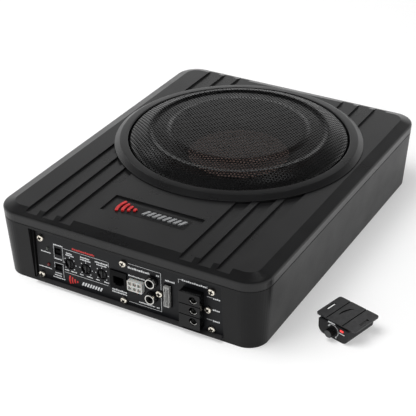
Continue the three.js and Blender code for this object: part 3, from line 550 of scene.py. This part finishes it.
# ---------------------- badge
ARC_CENTRE_X = -12.0
ARC_RADII = (4.4, 9.4, 14.4, 19.4)
ARC_HALF_WIDTH = 1.3
ARC_SWEEP = (math.pi - 0.42, math.pi + 0.42)
ARC_STEPS = 14
BAR_COUNT, BAR_START, BAR_PITCH, BAR_WIDTH = 8, -7, 4.9, 3
BAR_LEAN, BAR_HALF_HEIGHT = 1.6, 3.4


def arc_band(radius, half_width, start, end, steps, centre=(0, 0)):
    """The outline of a band along an arc."""
    turns = [start + (end - start) * i / steps for i in range(steps + 1)]
    outer = [polar(radius + half_width, t, centre) for t in turns]
    return outer + [polar(radius - half_width, t, centre) for t in turns[::-1]]


def emblem(shape, at, scale=1.0, low=0.3, high=1.0, tags=(0, 1), shift=(0, 0)):
    """A generic motif: nested arcs followed by slanted bars."""
    def scaled(outline, dx=0.0):
        return [(shift[0] + scale * (u + dx), shift[1] + scale * v) for u, v in outline]

    for radius in ARC_RADII:
        band = arc_band(radius, ARC_HALF_WIDTH, *ARC_SWEEP, ARC_STEPS)
        prism(shape, scaled(rounded(band, 0.4, 2), ARC_CENTRE_X), low, high, at, tags[0])
    for i in range(BAR_COUNT):
        left = BAR_START + i * BAR_PITCH
        slanted = [
            (left - BAR_LEAN, -BAR_HALF_HEIGHT), (left - BAR_LEAN + BAR_WIDTH, -BAR_HALF_HEIGHT),
            (left + BAR_LEAN + BAR_WIDTH, BAR_HALF_HEIGHT), (left + BAR_LEAN, BAR_HALF_HEIGHT),
        ]
        prism(shape, scaled(rounded(slanted, 0.5, 2)), low, high, at, tags[1])


def badge():
    def at(u, v, w):
        return (u, BADGE_Y + v, BADGE_FLOOR + w)

    shape = bmesh.new()
    prism(shape, rectangle(33.7, 7.2, 1.5), -0.28, -0.16, at, 0)
    emblem(shape, at, 1.0, -0.2, 1.0, (1, 2))
    made = make("badge_emblem", shape, [BADGE_ABS, RED_ENAMEL, SILVER])
    settle(bevel(made, 0.12), "enclosure", "silver_plastic", "badge")


# ---------------------- grille
GRILLE_PROFILE = [
    (0, 79.9), (61.3, 79.2), (64, 77.4), (77, 76.5), (80.3, 78.1), (83.8, 77.2), (95.2, 72.6),
    (98.6, 69.8), (99.2, 66.3), (103.4, 66.2),
]
GRILLE_SHEET = 0.55
HOLE_PITCH = 3.05
HOLE_RADIUS = 1.13
HOLE_SIDES = 8
LATTICE_TURN = math.radians(21.5)
LATTICE_REACH = 40  # rows each way from the middle
MERGE_STEPS = 20  # points are merged on a grid with this many steps to the millimetre
BEND_STEPS = (-1.4, -0.7, 0, 0.7, 1.4)  # the bends are averaged over this length
SLOPE_STEP = 0.3


def arc_lengths(profile):
    lengths = [0.0]
    for (r0, z0), (r1, z1) in zip(profile, profile[1:]):
        lengths.append(lengths[-1] + math.hypot(r1 - r0, z1 - z0))
    return lengths


GRILLE_LENGTHS = arc_lengths(GRILLE_PROFILE)
PERFORATED_TO = 104.0


def along(length):
    """The point of the grille's profile at a distance along it from the centre."""
    length = min(max(length, 0.0), GRILLE_LENGTHS[-1])
    for i in range(len(GRILLE_PROFILE) - 1):
        if length <= GRILLE_LENGTHS[i + 1]:
            break
    span = GRILLE_LENGTHS[i + 1] - GRILLE_LENGTHS[i]
    t = (length - GRILLE_LENGTHS[i]) / span
    (r0, z0), (r1, z1) = GRILLE_PROFILE[i], GRILLE_PROFILE[i + 1]
    return r0 + (r1 - r0) * t, z0 + (z1 - z0) * t


def pressed(length):
    """The profile with its bends rounded, and its slope there: (radius, height, along, up)."""
    def eased(at):
        if at < 2:
            return at, GRILLE_PROFILE[0][1]
        spots = [along(at + step) for step in BEND_STEPS]
        return sum(r for r, _ in spots) / len(spots), sum(z for _, z in spots) / len(spots)

    r, z = eased(length)
    r1, z1 = eased(length + SLOPE_STEP)
    r0, z0 = eased(max(length - SLOPE_STEP, 0))
    run, rise = r1 - r0, z1 - z0
    size = math.hypot(run, rise) or 1.0
    return r, z, run / size, rise / size


def grille():
    """A perforated sheet: hexagonal cells, each with an eight-sided hole, pressed into the dome."""
    shape = bmesh.new()
    corner_radius = HOLE_PITCH / math.sqrt(3)
    corner_turns = [LATTICE_TURN + math.radians(30 + 60 * k) for k in range(6)]
    hole_turns = [LATTICE_TURN + 2 * math.pi * (k + 0.5) / HOLE_SIDES for k in range(HOLE_SIDES)]
    events = sorted([(t % (2 * math.pi), "c", k) for k, t in enumerate(corner_turns)]
                    + [(t % (2 * math.pi), "h", k) for k, t in enumerate(hole_turns)])
    known = {}

    def pair(x, y):
        """The vertices above and below a point of the flat sheet."""
        key = (round(x * MERGE_STEPS), round(y * MERGE_STEPS))
        if key not in known:
            length = min(math.hypot(x, y), GRILLE_LENGTHS[-1])
            turn = math.atan2(y, x)
            r, z, run, rise = pressed(length)
            cos, sin = math.cos(turn), math.sin(turn)
            r_low, z_low = r + rise * GRILLE_SHEET, z - run * GRILLE_SHEET
            known[key] = (
                shape.verts.new((r * cos, DRIVER_Y + r * sin, z)),
                shape.verts.new((r_low * cos, DRIVER_Y + r_low * sin, z_low)),
            )
        return known[key]

    def around(x, y, radius, turns):
        return [pair(*polar(radius, t, (x, y))) for t in turns]

    def face(pairs):
        for level, order in ((0, 1), (1, -1)):
            corners = [p[level] for p in pairs][::order]
            unique = [c for k, c in enumerate(corners) if c not in corners[:k]]
            if len(unique) > 2 and shape.faces.get(unique) is None:
                shape.faces.new(unique)

    a = (HOLE_PITCH * math.cos(LATTICE_TURN), HOLE_PITCH * math.sin(LATTICE_TURN))
    b_turn = LATTICE_TURN + math.pi / 3
    b = (HOLE_PITCH * math.cos(b_turn), HOLE_PITCH * math.sin(b_turn))
    for i in range(-LATTICE_REACH, LATTICE_REACH + 1):
        for j in range(-LATTICE_REACH, LATTICE_REACH + 1):
            x, y = i * a[0] + j * b[0], i * a[1] + j * b[1]
            away = math.hypot(x, y)
            if away > GRILLE_LENGTHS[-1] - 0.2:
                continue
            corners = around(x, y, corner_radius, corner_turns)
            if away > PERFORATED_TO:
                face(corners)
                continue
            hole = around(x, y, HOLE_RADIUS, hole_turns)
            last_corner = corners[max((e for e in events if e[1] == "c"))[2]]
            last_hole = hole[max((e for e in events if e[1] == "h"))[2]]
            for _, kind, k in events:
                if kind == "c":
                    face([last_hole, last_corner, corners[k]])
                    last_corner = corners[k]
                else:
                    face([last_hole, last_corner, hole[k]])
                    last_hole = hole[k]
            for k in range(HOLE_SIDES):
                (top0, low0), (top1, low1) = hole[k], hole[(k + 1) % HOLE_SIDES]
                shape.faces.new([top0, top1, low1, low0])
    rim = [e for e in shape.edges if len(e.link_faces) == 1]
    bmesh.ops.bridge_loops(shape, edges=rim)
    settle(make("grille_mesh", shape, [GRILLE_STEEL], sharp=38), "enclosure", "black_steel", "grille")


RING_PROFILE = [
    (99.8, 66.6), (112.3, 66.6), (112.3, 67.2), (107.4, 70.3), (100.6, 70.75), (99.8, 70.1),
]


def ring():
    shape = bmesh.new()
    lathe(shape, rounded(RING_PROFILE, 0.5, 4), 160, centre=(0, DRIVER_Y), closed=True)
    made = make("grille_ring_fine", shape, [RING_ABS], sharp=50)
    settle(made, "enclosure", "textured_abs", "grille_ring")


# ---------------------- driver
CONE_PROFILE = [(19.8, 41.5), (48, 50.4), (77, 59.9), (77, 61.1), (48, 51.7), (19.8, 42.7)]
DUST_CAP_PROFILE = [
    (0, 55.9), (16, 55.2), (30, 53.7), (42, 51.4), (46, 51.5),
    (46, 52.3), (42.2, 52.2), (30.2, 54.6), (16.2, 56.1), (0, 56.8),
]
SURROUND_PROFILE = [
    (74.5, 61.4), (78.3, 61.4), (79.8, 68), (82.7, 69.8), (85.6, 68), (87.6, 65.4), (95.5, 65.4),
    (95.5, 66.1), (88, 66.1), (86.2, 68.7), (82.7, 70.7), (79.2, 68.7), (77.5, 62.1), (74.5, 62.1),
]
SPIDER_WAVES, SPIDER_START, SPIDER_WAVE, SPIDER_THICKNESS = 5, 25, 5, 0.8


def driver():
    axis = (0, DRIVER_Y)
    moving = [
        ("cone_paper", "cone", PAPER, "cone_paper", CONE_PROFILE),
        ("dust_cap_dome", "dust_cap", CAP, "cap_plastic", DUST_CAP_PROFILE),
    ]
    for name, cad, material, slot, profile in moving:
        shape = bmesh.new()
        if profile[0][0] == 0:
            lathe(shape, rounded(profile, 2, 3, closed=False), 96, centre=axis)
        else:
            lathe(shape, rounded(profile, 0.3, 2), 96, centre=axis, closed=True)
        settle(make(name, shape, [material], sharp=40), "cone_assembly", slot, cad)

    shape = bmesh.new()
    lathe(shape, rounded(SURROUND_PROFILE, 1.5, 4), 128, centre=axis, closed=True)
    roll = make("surround_roll", shape, [RUBBER], sharp=50)
    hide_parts("surround")
    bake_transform(roll)

    shape = bmesh.new()
    lower = [(19.8, 38.6), (23, 38.6)]
    for i in range(SPIDER_WAVES):
        radius = SPIDER_START + i * SPIDER_WAVE
        lower += [(radius, 37.5), (radius + SPIDER_WAVE / 2, 39)]
    lower += [(49.5, 36.4), (57.5, 36.4)]
    upper = [(r, z + SPIDER_THICKNESS) for r, z in lower][::-1]
    lathe(shape, rounded(lower + upper, 0.8, 2), 96, centre=axis, closed=True)
    disc = make("spider_disc", shape, [CLOTH], sharp=60)
    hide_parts("spider")
    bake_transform(disc)

    finishes = {"driver_basket": STAMPED_STEEL, "voice_coil": COPPER, "top_plate": PLATED,
                "magnet": FERRITE, "back_plate": PLATED}
    for name, material in finishes.items():
        dress(name, material)


# ---------------------- panel screws
def cross_screw(name, radius, height, place):
    """A pan head with a cross recess whose walls carry painted shade, on a short shank."""
    shape = bmesh.new()
    profile = [(0, 0), (radius * 0.96, 0), (radius, 0.3), (radius * 0.97, height * 0.6),
               (radius * 0.86, height * 0.88), (radius * 0.6, height), (0, height)]
    lathe(shape, profile, 40)
    head = make(name, shape, [ZINC], sharp=50)
    reach, wide = radius * 0.64, radius * 0.16
    cross = [(-wide, -reach), (wide, -reach), (wide, -wide), (reach, -wide), (reach, wide), (wide, wide),
             (wide, reach), (-wide, reach), (-wide, wide), (-reach, wide), (-reach, -wide), (-wide, -wide)]
    well = [(0, height - 1.6), (radius * 0.2, height - 1.5), (radius * 0.42, height + 0.2), (0, height + 0.2)]
    carve(head, cutter(prism, cross, height - 1.1, height + 1, finish=[RECESS_SHADE]),
          cutter(lathe, well, 24, finish=[RECESS_SHADE]))
    shape = bmesh.new()
    shape.from_mesh(head.data)
    bmesh.ops.scale(shape, vec=(1 / MM, 1 / MM, 1 / MM), verts=shape.verts)
    lathe(shape, [(0, -5), (1.1, -5), (1.5, -4.4), (1.5, 0.1), (0, 0.1)], 16)
    for vert in shape.verts:
        vert.co = place(*vert.co)
    bpy.data.objects.remove(head)
    return make(name, shape, [ZINC, RECESS_SHADE], sharp=50)


SCREW_HEAD_RADIUS, SCREW_HEAD_HEIGHT = 3.15, 2.2


def panel_screws():
    for i, (x, z) in enumerate(PANEL_SCREWS):
        turn = 0.5 + i * 1.1
        c, s = math.cos(turn), math.sin(turn)
        at = placed_at(x, z, PANEL_Y - 0.05)
        place = lambda u, v, w: at(c * u - s * v, s * u + c * v, w)
        made = cross_screw(
            f"panel_screw_head_{i + 1}", SCREW_HEAD_RADIUS, SCREW_HEAD_HEIGHT, place)
        settle(made, "enclosure", "zinc", f"panel_screw_{i + 1}")


# ---------------------- printing on the panel
WORD_WIDTHS = (1.3, 0.9, 1.5, 1.1, 1.0, 1.4, 0.8, 1.2)
WORD_HEIGHT, WORD_GAP = 1.3, 0.3  # the height that those widths go with, and the gap between
LINE = 0.3
DIAL_RADIUS, DOT_RADIUS, DOT_SIDES = 6.1, 0.5, 8
LABELS = [  # start, end, height up the panel, height of the block
    (-83.2, -73.1, 30.3, 1.1), (-86.3, -73.5, 14.8, 1.1), (-70.2, -61.0, 40.3, 1.4),
    (-69.3, -62.1, 26.9, 1.3), (-70.2, -63.7, 12.6, 1.1), (-71, -63.9, 10.3, 1.1),
    (-72.5, -60.4, 7.9, 1.1), (-57.8, -51.4, 35.6, 1.3), (-58.4, -49.9, 33.7, 1.2),
    (-43.7, -34.3, 35.9, 1.4), (-43.9, -33.7, 33.8, 1.3), (-29.3, -16.9, 36, 1.4),
    (-27.9, -18.1, 33.8, 1.2), (-59.9, -55.8, 18.7, 1.1), (-53.9, -48.1, 18.7, 1.1),
    (-44.9, -41.4, 18.7, 1.1), (-38.3, -32, 18.7, 1.1), (-29.2, -25.5, 18.7, 1.1),
    (-21.1, -16.5, 18.7, 1.1), (-13.5, 0.6, 14.9, 1.6), (-13.8, 1.0, 12.6, 1.3),
    (2.6, 22.9, 40.6, 1.8), (29, 31.7, 41.2, 1.8), (28.7, 31.1, 10.2, 1.6), (2.8, 18.2, 33.2, 1.3),
    (12, 27, 10.2, 1.3), (37.2, 46.2, 39.4, 1.6), (52.4, 75.2, 44.6, 1.7),
    (80.4, 86.6, 36.3, 1.5), (80, 86.2, 25.6, 1.5), (80.2, 86.6, 15.1, 1.5),
]
LINES_ACROSS = [  # start, end, height up the panel
    (-70.4, -61.4, 22.6), (-61.6, -59.4, 25.6), (-60.5, -17, 38.9), (-60.2, -17.3, 16.05),
    (3, 33.4, 44.3), (2.5, 33.4, 7.5), (49.2, 52, 44.5), (74.8, 79.8, 36.5), (74.6, 79.6, 15.2),
]
LINES_UP = [  # place along the panel, bottom, top
    (-70, 26, 39.5), (-61.2, 25.8, 39.5), (-61.6, 9.2, 22.6), (-70.2, 17.6, 22.6),
    (-16.2, 34.2, 38.9), (33.2, 7.5, 21.2), (33.2, 28.4, 44.3), (49.4, 40.8, 44.5),
]


def words(shape, x0, x1, z, height, tag=0, seed=0):
    """A row of plain blocks in place of a printed label."""
    x, i = x0, seed
    scale = height / WORD_HEIGHT
    while x < x1 - 0.3:
        width = min(WORD_WIDTHS[i % len(WORD_WIDTHS)] * scale, x1 - x)
        notch = 0.22 * height if i % 3 else 0
        bar(shape, x, x + width, z - height / 2, z + height / 2 - notch, tag)
        x += width + WORD_GAP * scale
        i += 1


def bar(shape, x0, x1, z0, z1, tag=0):
    corners = [(x0, z0), (x1, z0), (x1, z1), (x0, z1)]
    prism(shape, corners, PANEL_FACE - SUNK, PANEL_FACE + INK, on_panel, tag)


def printing():
    shape = bmesh.new()
    for i, (x0, x1, z, height) in enumerate(LABELS):
        words(shape, x0, x1, z, height, seed=i)
    for x0, x1, z in LINES_ACROSS:
        bar(shape, x0, x1, z - LINE / 2, z + LINE / 2)
    for x, z0, z1 in LINES_UP:
        bar(shape, x - LINE / 2, x + LINE / 2, z0, z1)
    for x in KNOBS.values():
        for k in range(7):
            turn = math.radians(225 - 45 * k)
            spot = polar(DIAL_RADIUS, turn, (x, KNOB_Z))
            dot = [polar(DOT_RADIUS, 2 * math.pi * i / DOT_SIDES, spot) for i in range(DOT_SIDES)]
            prism(shape, dot, PANEL_FACE - SUNK, PANEL_FACE + INK, on_panel)
    words(shape, -51.4, -29.6, 41.3, 1.9, tag=1, seed=3)
    emblem(shape, on_panel, 0.52, PANEL_FACE - SUNK, PANEL_FACE + INK, (1, 0), shift=(-39.5, 9.8))
    settle(make("panel_printing", shape, [PRINT_WHITE, PRINT_RED]), "enclosure", "white_nylon")


# ---------------------- controls
KNOB_BASE_Y = -150.9
KNOB_FLUTES, KNOB_CREST, KNOB_VALLEY = 24, 3.6, 3.35
SHADOW_RING_PROFILE = [(3.85, 155.7), (4.75, 155.7), (4.75, 156.35), (3.85, 156.35)]
LENS_BASE_Y = -152
LENS_PROFILE = [
    (0, 0), (2.1, 0), (2.1, 1.2), (1.5, 1.2), (1.5, 4.2), (1.42, 4.7), (1.15, 5.05), (0.6, 5.25), (0, 5.3),
]


def panel_controls():
    for name, x in KNOBS.items():
        shape = bmesh.new()
        at = placed_at(x, KNOB_Z, KNOB_BASE_Y)
        outline = []
        for i in range(KNOB_FLUTES * 2):
            turn = math.pi * i / KNOB_FLUTES
            outline.append(polar(KNOB_CREST if i % 2 else KNOB_VALLEY, turn))
        prism(shape, outline, 0, 3.6, at)
        lathe(shape, [(0, 3.4), (3.1, 3.4), (2.9, 4.3), (0, 4.3)], 32, at)
        lathe(shape, [(0, -5.2), (1.6, -5.2), (1.6, 0.2), (0, 0.2)], 20, at)
        cap = make(f"{name}_knob_cap", shape, [KNOB_PLASTIC], sharp=40)
        carve(cap, cutter(prism, rectangle(0.55, 3.0, 0.3), 2.9, 6, at), sharp=40)
        settle(cap, f"{name}_knob", "black_plastic", f"{name}_knob")
        # A near-black ring around each knob: painted shadow round the cap.
        shape = bmesh.new()
        lathe(shape, rounded(SHADOW_RING_PROFILE, 0.15, 2), 40, on_panel, (x, KNOB_Z), closed=True)
        settle(make(f"{name}_shadow_ring", shape, [SHADOW_BLACK], sharp=40), "enclosure", "black_plastic")
        dress(f"{name}_pot", ALUMINIUM)
    for name in ("phase", "level"):
        dress(f"{name}_switch_body", PLASTIC)
        dress(f"{name}_switch_lever", PLASTIC)
    for name, (x, z) in LEDS.items():
        shape = bmesh.new()
        lathe(shape, LENS_PROFILE, 28, placed_at(x, z, LENS_BASE_Y))
        material, slot = (GREEN_LENS, "green_lens") if name == "power_led" else (RED_LENS, "red_lens")
        settle(make(f"{name}_lens", shape, [material], sharp=40), "enclosure", slot, name)


TAB_SCREW = PANEL_SCREWS[4]
BEZEL_PROFILE = [(4.45, 0), (5.4, 0), (5.4, 0.8), (5.15, 1.1), (4.45, 1.1)]
CORE_PROFILE = [(1.65, -4), (3.35, -4), (3.35, 3.4), (3.1, 3.65), (1.9, 3.65), (1.65, 3.4)]
BARREL_PROFILE = [(3.4, -2), (4.3, -2), (4.3, 4.6), (3.4, 4.6)]


def rca_sockets():
    for name, (x, z) in RCA.items():
        shape = bmesh.new()
        at = placed_at(x, z, PANEL_Y - 0.3)
        lathe(shape, BEZEL_PROFILE, 48, at, closed=True)
        lathe(shape, CORE_PROFILE, 40, at, closed=True)
        box(shape, (x - 5, z - 5, 143), (x + 5, z + 5, 153.7), on_panel)
        settle(make(f"{name}_body", shape, [JACK_PLASTIC], sharp=40), "enclosure", "black_plastic", name)
        if name == "rca_socket_left":
            tab = bmesh.new()
            box(tab, (x + 5.2, z + 1.5, 150.5), (x + 11, z + 9, 153.7), on_panel)
            hole = [(0, 140), (1.8, 140), (1.8, 160), (0, 160)]
            made = make(f"{name}_tab", tab, [PLASTIC])
            carve(made, cutter(lathe, hole, 24, on_panel, TAB_SCREW))
            settle(made, "enclosure", "black_plastic")
        shape = bmesh.new()
        lathe(shape, rounded(BARREL_PROFILE, 0.25, 3), 56, at, closed=True)
        settle(make(f"{name}_barrel", shape, [NICKEL], sharp=40), "enclosure", "nickel")


WAYS = [(column * 4.4, row * 2.2) for column in (-1, 0, 1) for row in (-1, 1)]


def input_connector():
    x, z = CONNECTOR
    shape = bmesh.new()
    prism(shape, rectangle(7, 4.7, 0.8, (x, z)), 143, 160, on_panel)
    prism(shape, rectangle(2.2, 0.7, 0.3, (x, z - 5.0)), 154.5, 159.2, on_panel)
    housing = make("connector_housing", shape, [NYLON])
    pockets = [rectangle(1.6, 1.6, 0.4, (x + across, z + up)) for across, up in WAYS]
    carve(housing, *[cutter(prism, pocket, 157.8, 161, on_panel) for pocket in pockets], sharp=32)
    settle(bevel(housing, 0.15), "enclosure", "white_nylon", "high_level_connector")
    shape = bmesh.new()
    for across, up in WAYS:
        prism(shape, rectangle(0.45, 0.45, 0.15, (x + across, z + up)), 157.5, 158.8, on_panel)
    settle(make("connector_pins", shape, [TIN]), "enclosure", "nickel")
    shape = bmesh.new()
    box(shape, (x - 3.6, z - 9.4, 150.5), (x + 3.6, z - 5.6, 153.7), on_panel)
    settle(make("connector_shelf", shape, [PLASTIC]), "enclosure", "black_plastic")


CONTACT_COUNT, CONTACT_PITCH, CONTACT_HALF_WIDTH = 6, 1.24, 0.16
# Width and gap of the strips of painted shadow beside the jack.
SHADOW_STRIP_WIDTH, SHADOW_STRIP_GAP = 1.0, 0.2


def remote_jack():
    """The jack, with a dark strip of painted shadow along its left and lower edges."""
    dress("remote_jack", JACK_PLASTIC)
    shape = bmesh.new()
    x0, x1, z0, z1 = JACK_EDGE
    corner = (x0 - SHADOW_STRIP_WIDTH, z0 - SHADOW_STRIP_WIDTH)
    left = (corner, (x0 - SHADOW_STRIP_GAP, z1 + SHADOW_STRIP_GAP))
    below = ((x0 - SHADOW_STRIP_GAP, z0 - SHADOW_STRIP_WIDTH), (x1 + SHADOW_STRIP_GAP, z0 - SHADOW_STRIP_GAP))
    for lo, hi in (left, below):
        box(shape, (*lo, SHADOW_STRIP_DEPTHS[0]), (*hi, SHADOW_STRIP_DEPTHS[1]), on_panel)
    settle(make("jack_edge_shadow", shape, [SHADOW_BLACK]), "enclosure", "black_plastic")
    shape = bmesh.new()
    for i in range(CONTACT_COUNT):
        x = JACK_X - 3.1 + i * CONTACT_PITCH
        box(shape, (x - CONTACT_HALF_WIDTH, 27.6, 147.5), (x + CONTACT_HALF_WIDTH, 28.0, 155), on_panel)
    settle(make("jack_contacts", shape, [GOLD]), "enclosure", "copper")


# ---------------------- fuse and terminals
FUSE_GROOVES = ((-1.25, 0.28), (0.2, 0.2), (1.3, 0.34))  # offset and half width
BLADE_OFFSETS = (-5.2, 5.2)


def fuse():
    dress("fuse_holder", PLASTIC)
    x, z = FUSE
    shape = bmesh.new()
    side = [(z - 9.6, 151.3), (z + 9.6, 151.3), (z + 9.6, 159.2), (z + 9.2, 159.6), (z + 5, 159.6),
            (z + 4.4, 158.9), (z - 4.4, 158.9), (z - 5, 159.6), (z - 9.2, 159.6), (z - 9.6, 159.2)]
    prism(shape, side, x - 2.6, x + 2.6, lambda v, w, u: (u, -w, v))
    body = make("fuse_body", shape, [CLEAR])
    # The grooves take a darker finish: painted shade along them.
    grooves = [rectangle(half, 8.2, 0, (x + offset, z)) for offset, half in FUSE_GROOVES]
    carve(body, *[cutter(prism, groove, 158.0, 161, on_panel, finish=[GROOVE_SHADE])
                  for groove in grooves], sharp=32)
    settle(bevel(body, 0.25), "fuse", "clear_plastic", "fuse")
    shape = bmesh.new()
    for end in BLADE_OFFSETS:
        box(shape, (x - 0.35, z + end - 2.6, 143), (x + 0.35, z + end + 2.6, 151.2), on_panel)
    made = bevel(make("fuse_blades", shape, [TIN]), 0.15)
    settle(made, "fuse", "nickel")


TERMINAL_SCREW_BASE_Y = -158.7
TERMINAL_SCREW_PROFILE = [
    (0, -9), (1.6, -9), (1.6, 0), (2.7, 0), (2.9, 0.25), (2.9, 1.9), (2.6, 2.3), (1.6, 2.4), (0, 2.4),
]
SLOT_TURN = 0.6
SLEEVE_HIGHLIGHT_PROFILE = [(2.85, 160.6), (3.48, 160.6), (3.48, 162.5), (2.85, 162.5)]
WELL_STEPS = ((3.5, 158.4, 165), (1.9, 150, 159))  # radius, bottom, top
WIRE_ENTRY_PROFILE = [(0, 52), (1.7, 52), (1.7, 66), (0, 66)]
BETWEEN_WAYS_Z = (18.7, 28.7)


def terminal_body():
    """The block, with a screw well and a wire entry for each of its three ways."""
    shape = bmesh.new()
    prism(shape, rectangle(9.4, 16.4, 0.9, (63, 23)), 156.3, 163.4, on_panel)
    block = make("terminal_body", shape, [GLOSS_PLASTIC])
    tools = []
    for z in TERMINAL_SCREW_Z:
        for radius, low, high in WELL_STEPS:
            step = [(0, low), (radius, low), (radius, high), (0, high)]
            tools.append(cutter(lathe, step, 40, on_panel, (TERMINAL_SCREW_X, z)))
        tools.append(cutter(lathe, WIRE_ENTRY_PROFILE, 20, lambda u, v, w: (w, u, v), (-159, z)))
    for z in BETWEEN_WAYS_Z:
        tools.append(cutter(box, (52, z - 0.4, 162), (74, z + 0.4, 165), on_panel))
    carve(block, *tools, sharp=32)
    settle(bevel(block, 0.55, 3), "enclosure", "black_plastic", "terminal_block")


def terminals():
    terminal_body()
    for i, z in enumerate(TERMINAL_SCREW_Z):
        shape = bmesh.new()
        at = placed_at(TERMINAL_SCREW_X, z, TERMINAL_SCREW_BASE_Y)
        lathe(shape, TERMINAL_SCREW_PROFILE, 40, at)
        screw = make(f"terminal_screw_body_{i + 1}", shape, [SHADED_SCREW_STEEL], sharp=40)
        c, s = math.cos(SLOT_TURN), math.sin(SLOT_TURN)
        slot = [(c * u - s * v, s * u + c * v) for u, v in rectangle(0.5, 3.2)]
        carve(screw, cutter(prism, slot, 1.1, 4, at), sharp=40)
        settle(screw, f"terminal_screw_{i + 1}", "nickel", f"terminal_screw_{i + 1}")
        # A nickel lip at each well's rim, kept only on its lower half: partly the real sleeve, partly painted
        # highlight for the bright arcs there.
        shape = bmesh.new()
        lip = rounded(SLEEVE_HIGHLIGHT_PROFILE, 0.3, 4)
        lathe(shape, lip, 48, on_panel, (TERMINAL_SCREW_X, z), closed=True)
        sleeve = make(f"terminal_sleeve_highlight_{i + 1}", shape, [NICKEL], sharp=60)
        lo, hi = (TERMINAL_SCREW_X - 5, z - 0.9, 159), (TERMINAL_SCREW_X + 5, z + 5, 164)
        carve(sleeve, cutter(box, lo, hi, on_panel), sharp=60)
        settle(sleeve, "enclosure", "nickel")


# ---------------------- amplifier
def amplifier():
    finishes = {"circuit_board": BOARD, "heat_spreader": ALUMINIUM, "power_transformer": COPPER,
                "filter_capacitor": PLASTIC, "speaker_lead": RUBBER}
    for name, material in finishes.items():
        dress(name, material)


# ---------------------- remote level control
PLATE_SLOTS_X = (-16.4, 16.4)
PLATE_FOLDS_X = (-9, 7)
CRESCENT = [  # x, y and half width along its spine
    (-4.5, -5.3, 0.3), (-4.5, -2.6, 0.65), (-4.2, 0.2, 0.85), (-3.4, 3.4, 0.85), (-2.2, 6.2, 0.7),
    (-0.5, 8.4, 0.3),
]
REMOTE_FLUTES = 16
REMOTE_KNOB_RINGS = (  # radius, height, depth of the flutes there
    (3.75, 0, 0), (3.9, 0.4, 0.3), (3.75, 4.8, 0.3), (3.5, 5.4, 0.1), (3.2, 5.6, 0),
)
DIAL_ARCS = (  # start and end in degrees, radius, half width
    (-48, 125, 5.5, 0.17), (122, 152, 5.1, 0.5), (-62, -50, 6.0, 0.6),
)
DIAL_STEPS = 20
TICK = [(5.9, 7.9), (11.3, 7.9), (11.3, 8.6), (5.9, 8.6)]
WEDGE = [(-6.9, -15.6), (-5.8, -17.1), (0.8, -16.5), (0, -15.6)]


def remote_plate():
    """The slotted bracket, with the walls of its slots, the two folds and the crescent pressed into it given
    a black finish as painted shade.
    """
    low, high = REMOTE_PLATE_HEIGHTS
    shape = bmesh.new()
    prism(shape, rectangle(19.8, 15.2, 2.6), low, high)
    plate = make("remote_plate", shape, [REMOTE_PLATE], REMOTE)
    # Black finish on every cut: painted shade in the slots, folds and crescent.
    painted_shade = {"finish": [PLASTIC], "transform": REMOTE}
    tools = []
    for side in PLATE_SLOTS_X:
        tools.append(cutter(prism, rectangle(1.1, 5.2, 0.5, (side, -0.2)), low - 1, high + 1, **painted_shade))
    for fold in PLATE_FOLDS_X:
        outline = [
            (fold - 0.62, high + 0.2), (fold - 0.12, high - 0.6),
            (fold + 0.12, high - 0.6), (fold + 0.62, high + 0.2),
        ]
        tools.append(cutter(prism, outline, -16, 16, lambda u, w, v: (u, v, w), **painted_shade))
    outline = [(x - w, y) for x, y, w in CRESCENT] + [(x + w, y) for x, y, w in CRESCENT[::-1]]
    tools.append(cutter(prism, outline, high - 0.55, high + 1, **painted_shade))
    carve(plate, *tools, sharp=32)
    settle(bevel(plate, 0.22), "remote_control", "black_plastic", "remote_bracket")


def remote_knob():
    """A fluted cap with a paler face, on its shaft."""
    shape = bmesh.new()
    at = placed_at(*REMOTE_KNOB, -REMOTE_FRONT - 0.6)
    points = REMOTE_FLUTES * 4
    rings = []
    for radius, height, dip in REMOTE_KNOB_RINGS:
        loop = []
        for i in range(points):
            turn = 2 * math.pi * i / points
            reach = radius - (dip if i % 4 in (2, 3) else 0)
            loop.append(shape.verts.new(at(*polar(reach, turn), height)))
        rings.append(loop)
    for low, high in zip(rings, rings[1:]):
        for i in range(len(low)):
            j = (i + 1) % len(low)
            shape.faces.new([low[i], low[j], high[j], high[i]])
    shape.faces.new(rings[0][::-1])
    shape.faces.new(rings[-1]).material_index = 1
    lathe(shape, [(0, -8), (2, -8), (2, 0.1), (0, 0.1)], 24, at)
    cap = make("remote_knob_cap", shape, [PLASTIC, REMOTE_PLATE], REMOTE, sharp=30)
    settle(cap, "remote_knob", "black_plastic", "remote_knob")


def remote_printing():
    """White marks: a dial around the knob, a tick beside it and a wedge on the top edge."""
    shape = bmesh.new()
    for start, end, radius, half in DIAL_ARCS:
        band = arc_band(radius, half, math.radians(start), math.radians(end), DIAL_STEPS, REMOTE_KNOB)
        prism(shape, band, REMOTE_FRONT - SUNK, REMOTE_FRONT + INK, on_panel)
    prism(shape, TICK, REMOTE_FRONT - SUNK, REMOTE_FRONT + INK, on_panel)
    prism(shape, WEDGE, REMOTE_TOP - SUNK, REMOTE_TOP + INK)
    settle(make("remote_printing", shape, [PRINT_WHITE], REMOTE), "remote_control", "white_nylon")


def remote():
    dress("remote_housing", REMOTE_PLASTIC)
    dress("remote_socket", PLASTIC)
    remote_plate()
    remote_knob()
    remote_printing()
    shape = bmesh.new()
    prism(shape, rectangle(1.7, 0.85, 0.3, (8.5, 10.95)), REMOTE_FRONT - 1.4, REMOTE_FRONT + 0.5, on_panel)
    lamp = make("remote_lamp", shape, [LAMP_RED], REMOTE)
    settle(bevel(lamp, 0.2), "remote_control", "red_lens", "remote_led")


camera()
studio()
enclosure()
badge()
ring()
grille()
driver()
panel_screws()
printing()
panel_controls()
rca_sockets()
input_connector()
remote_jack()
fuse()
terminals()
amplifier()
remote()
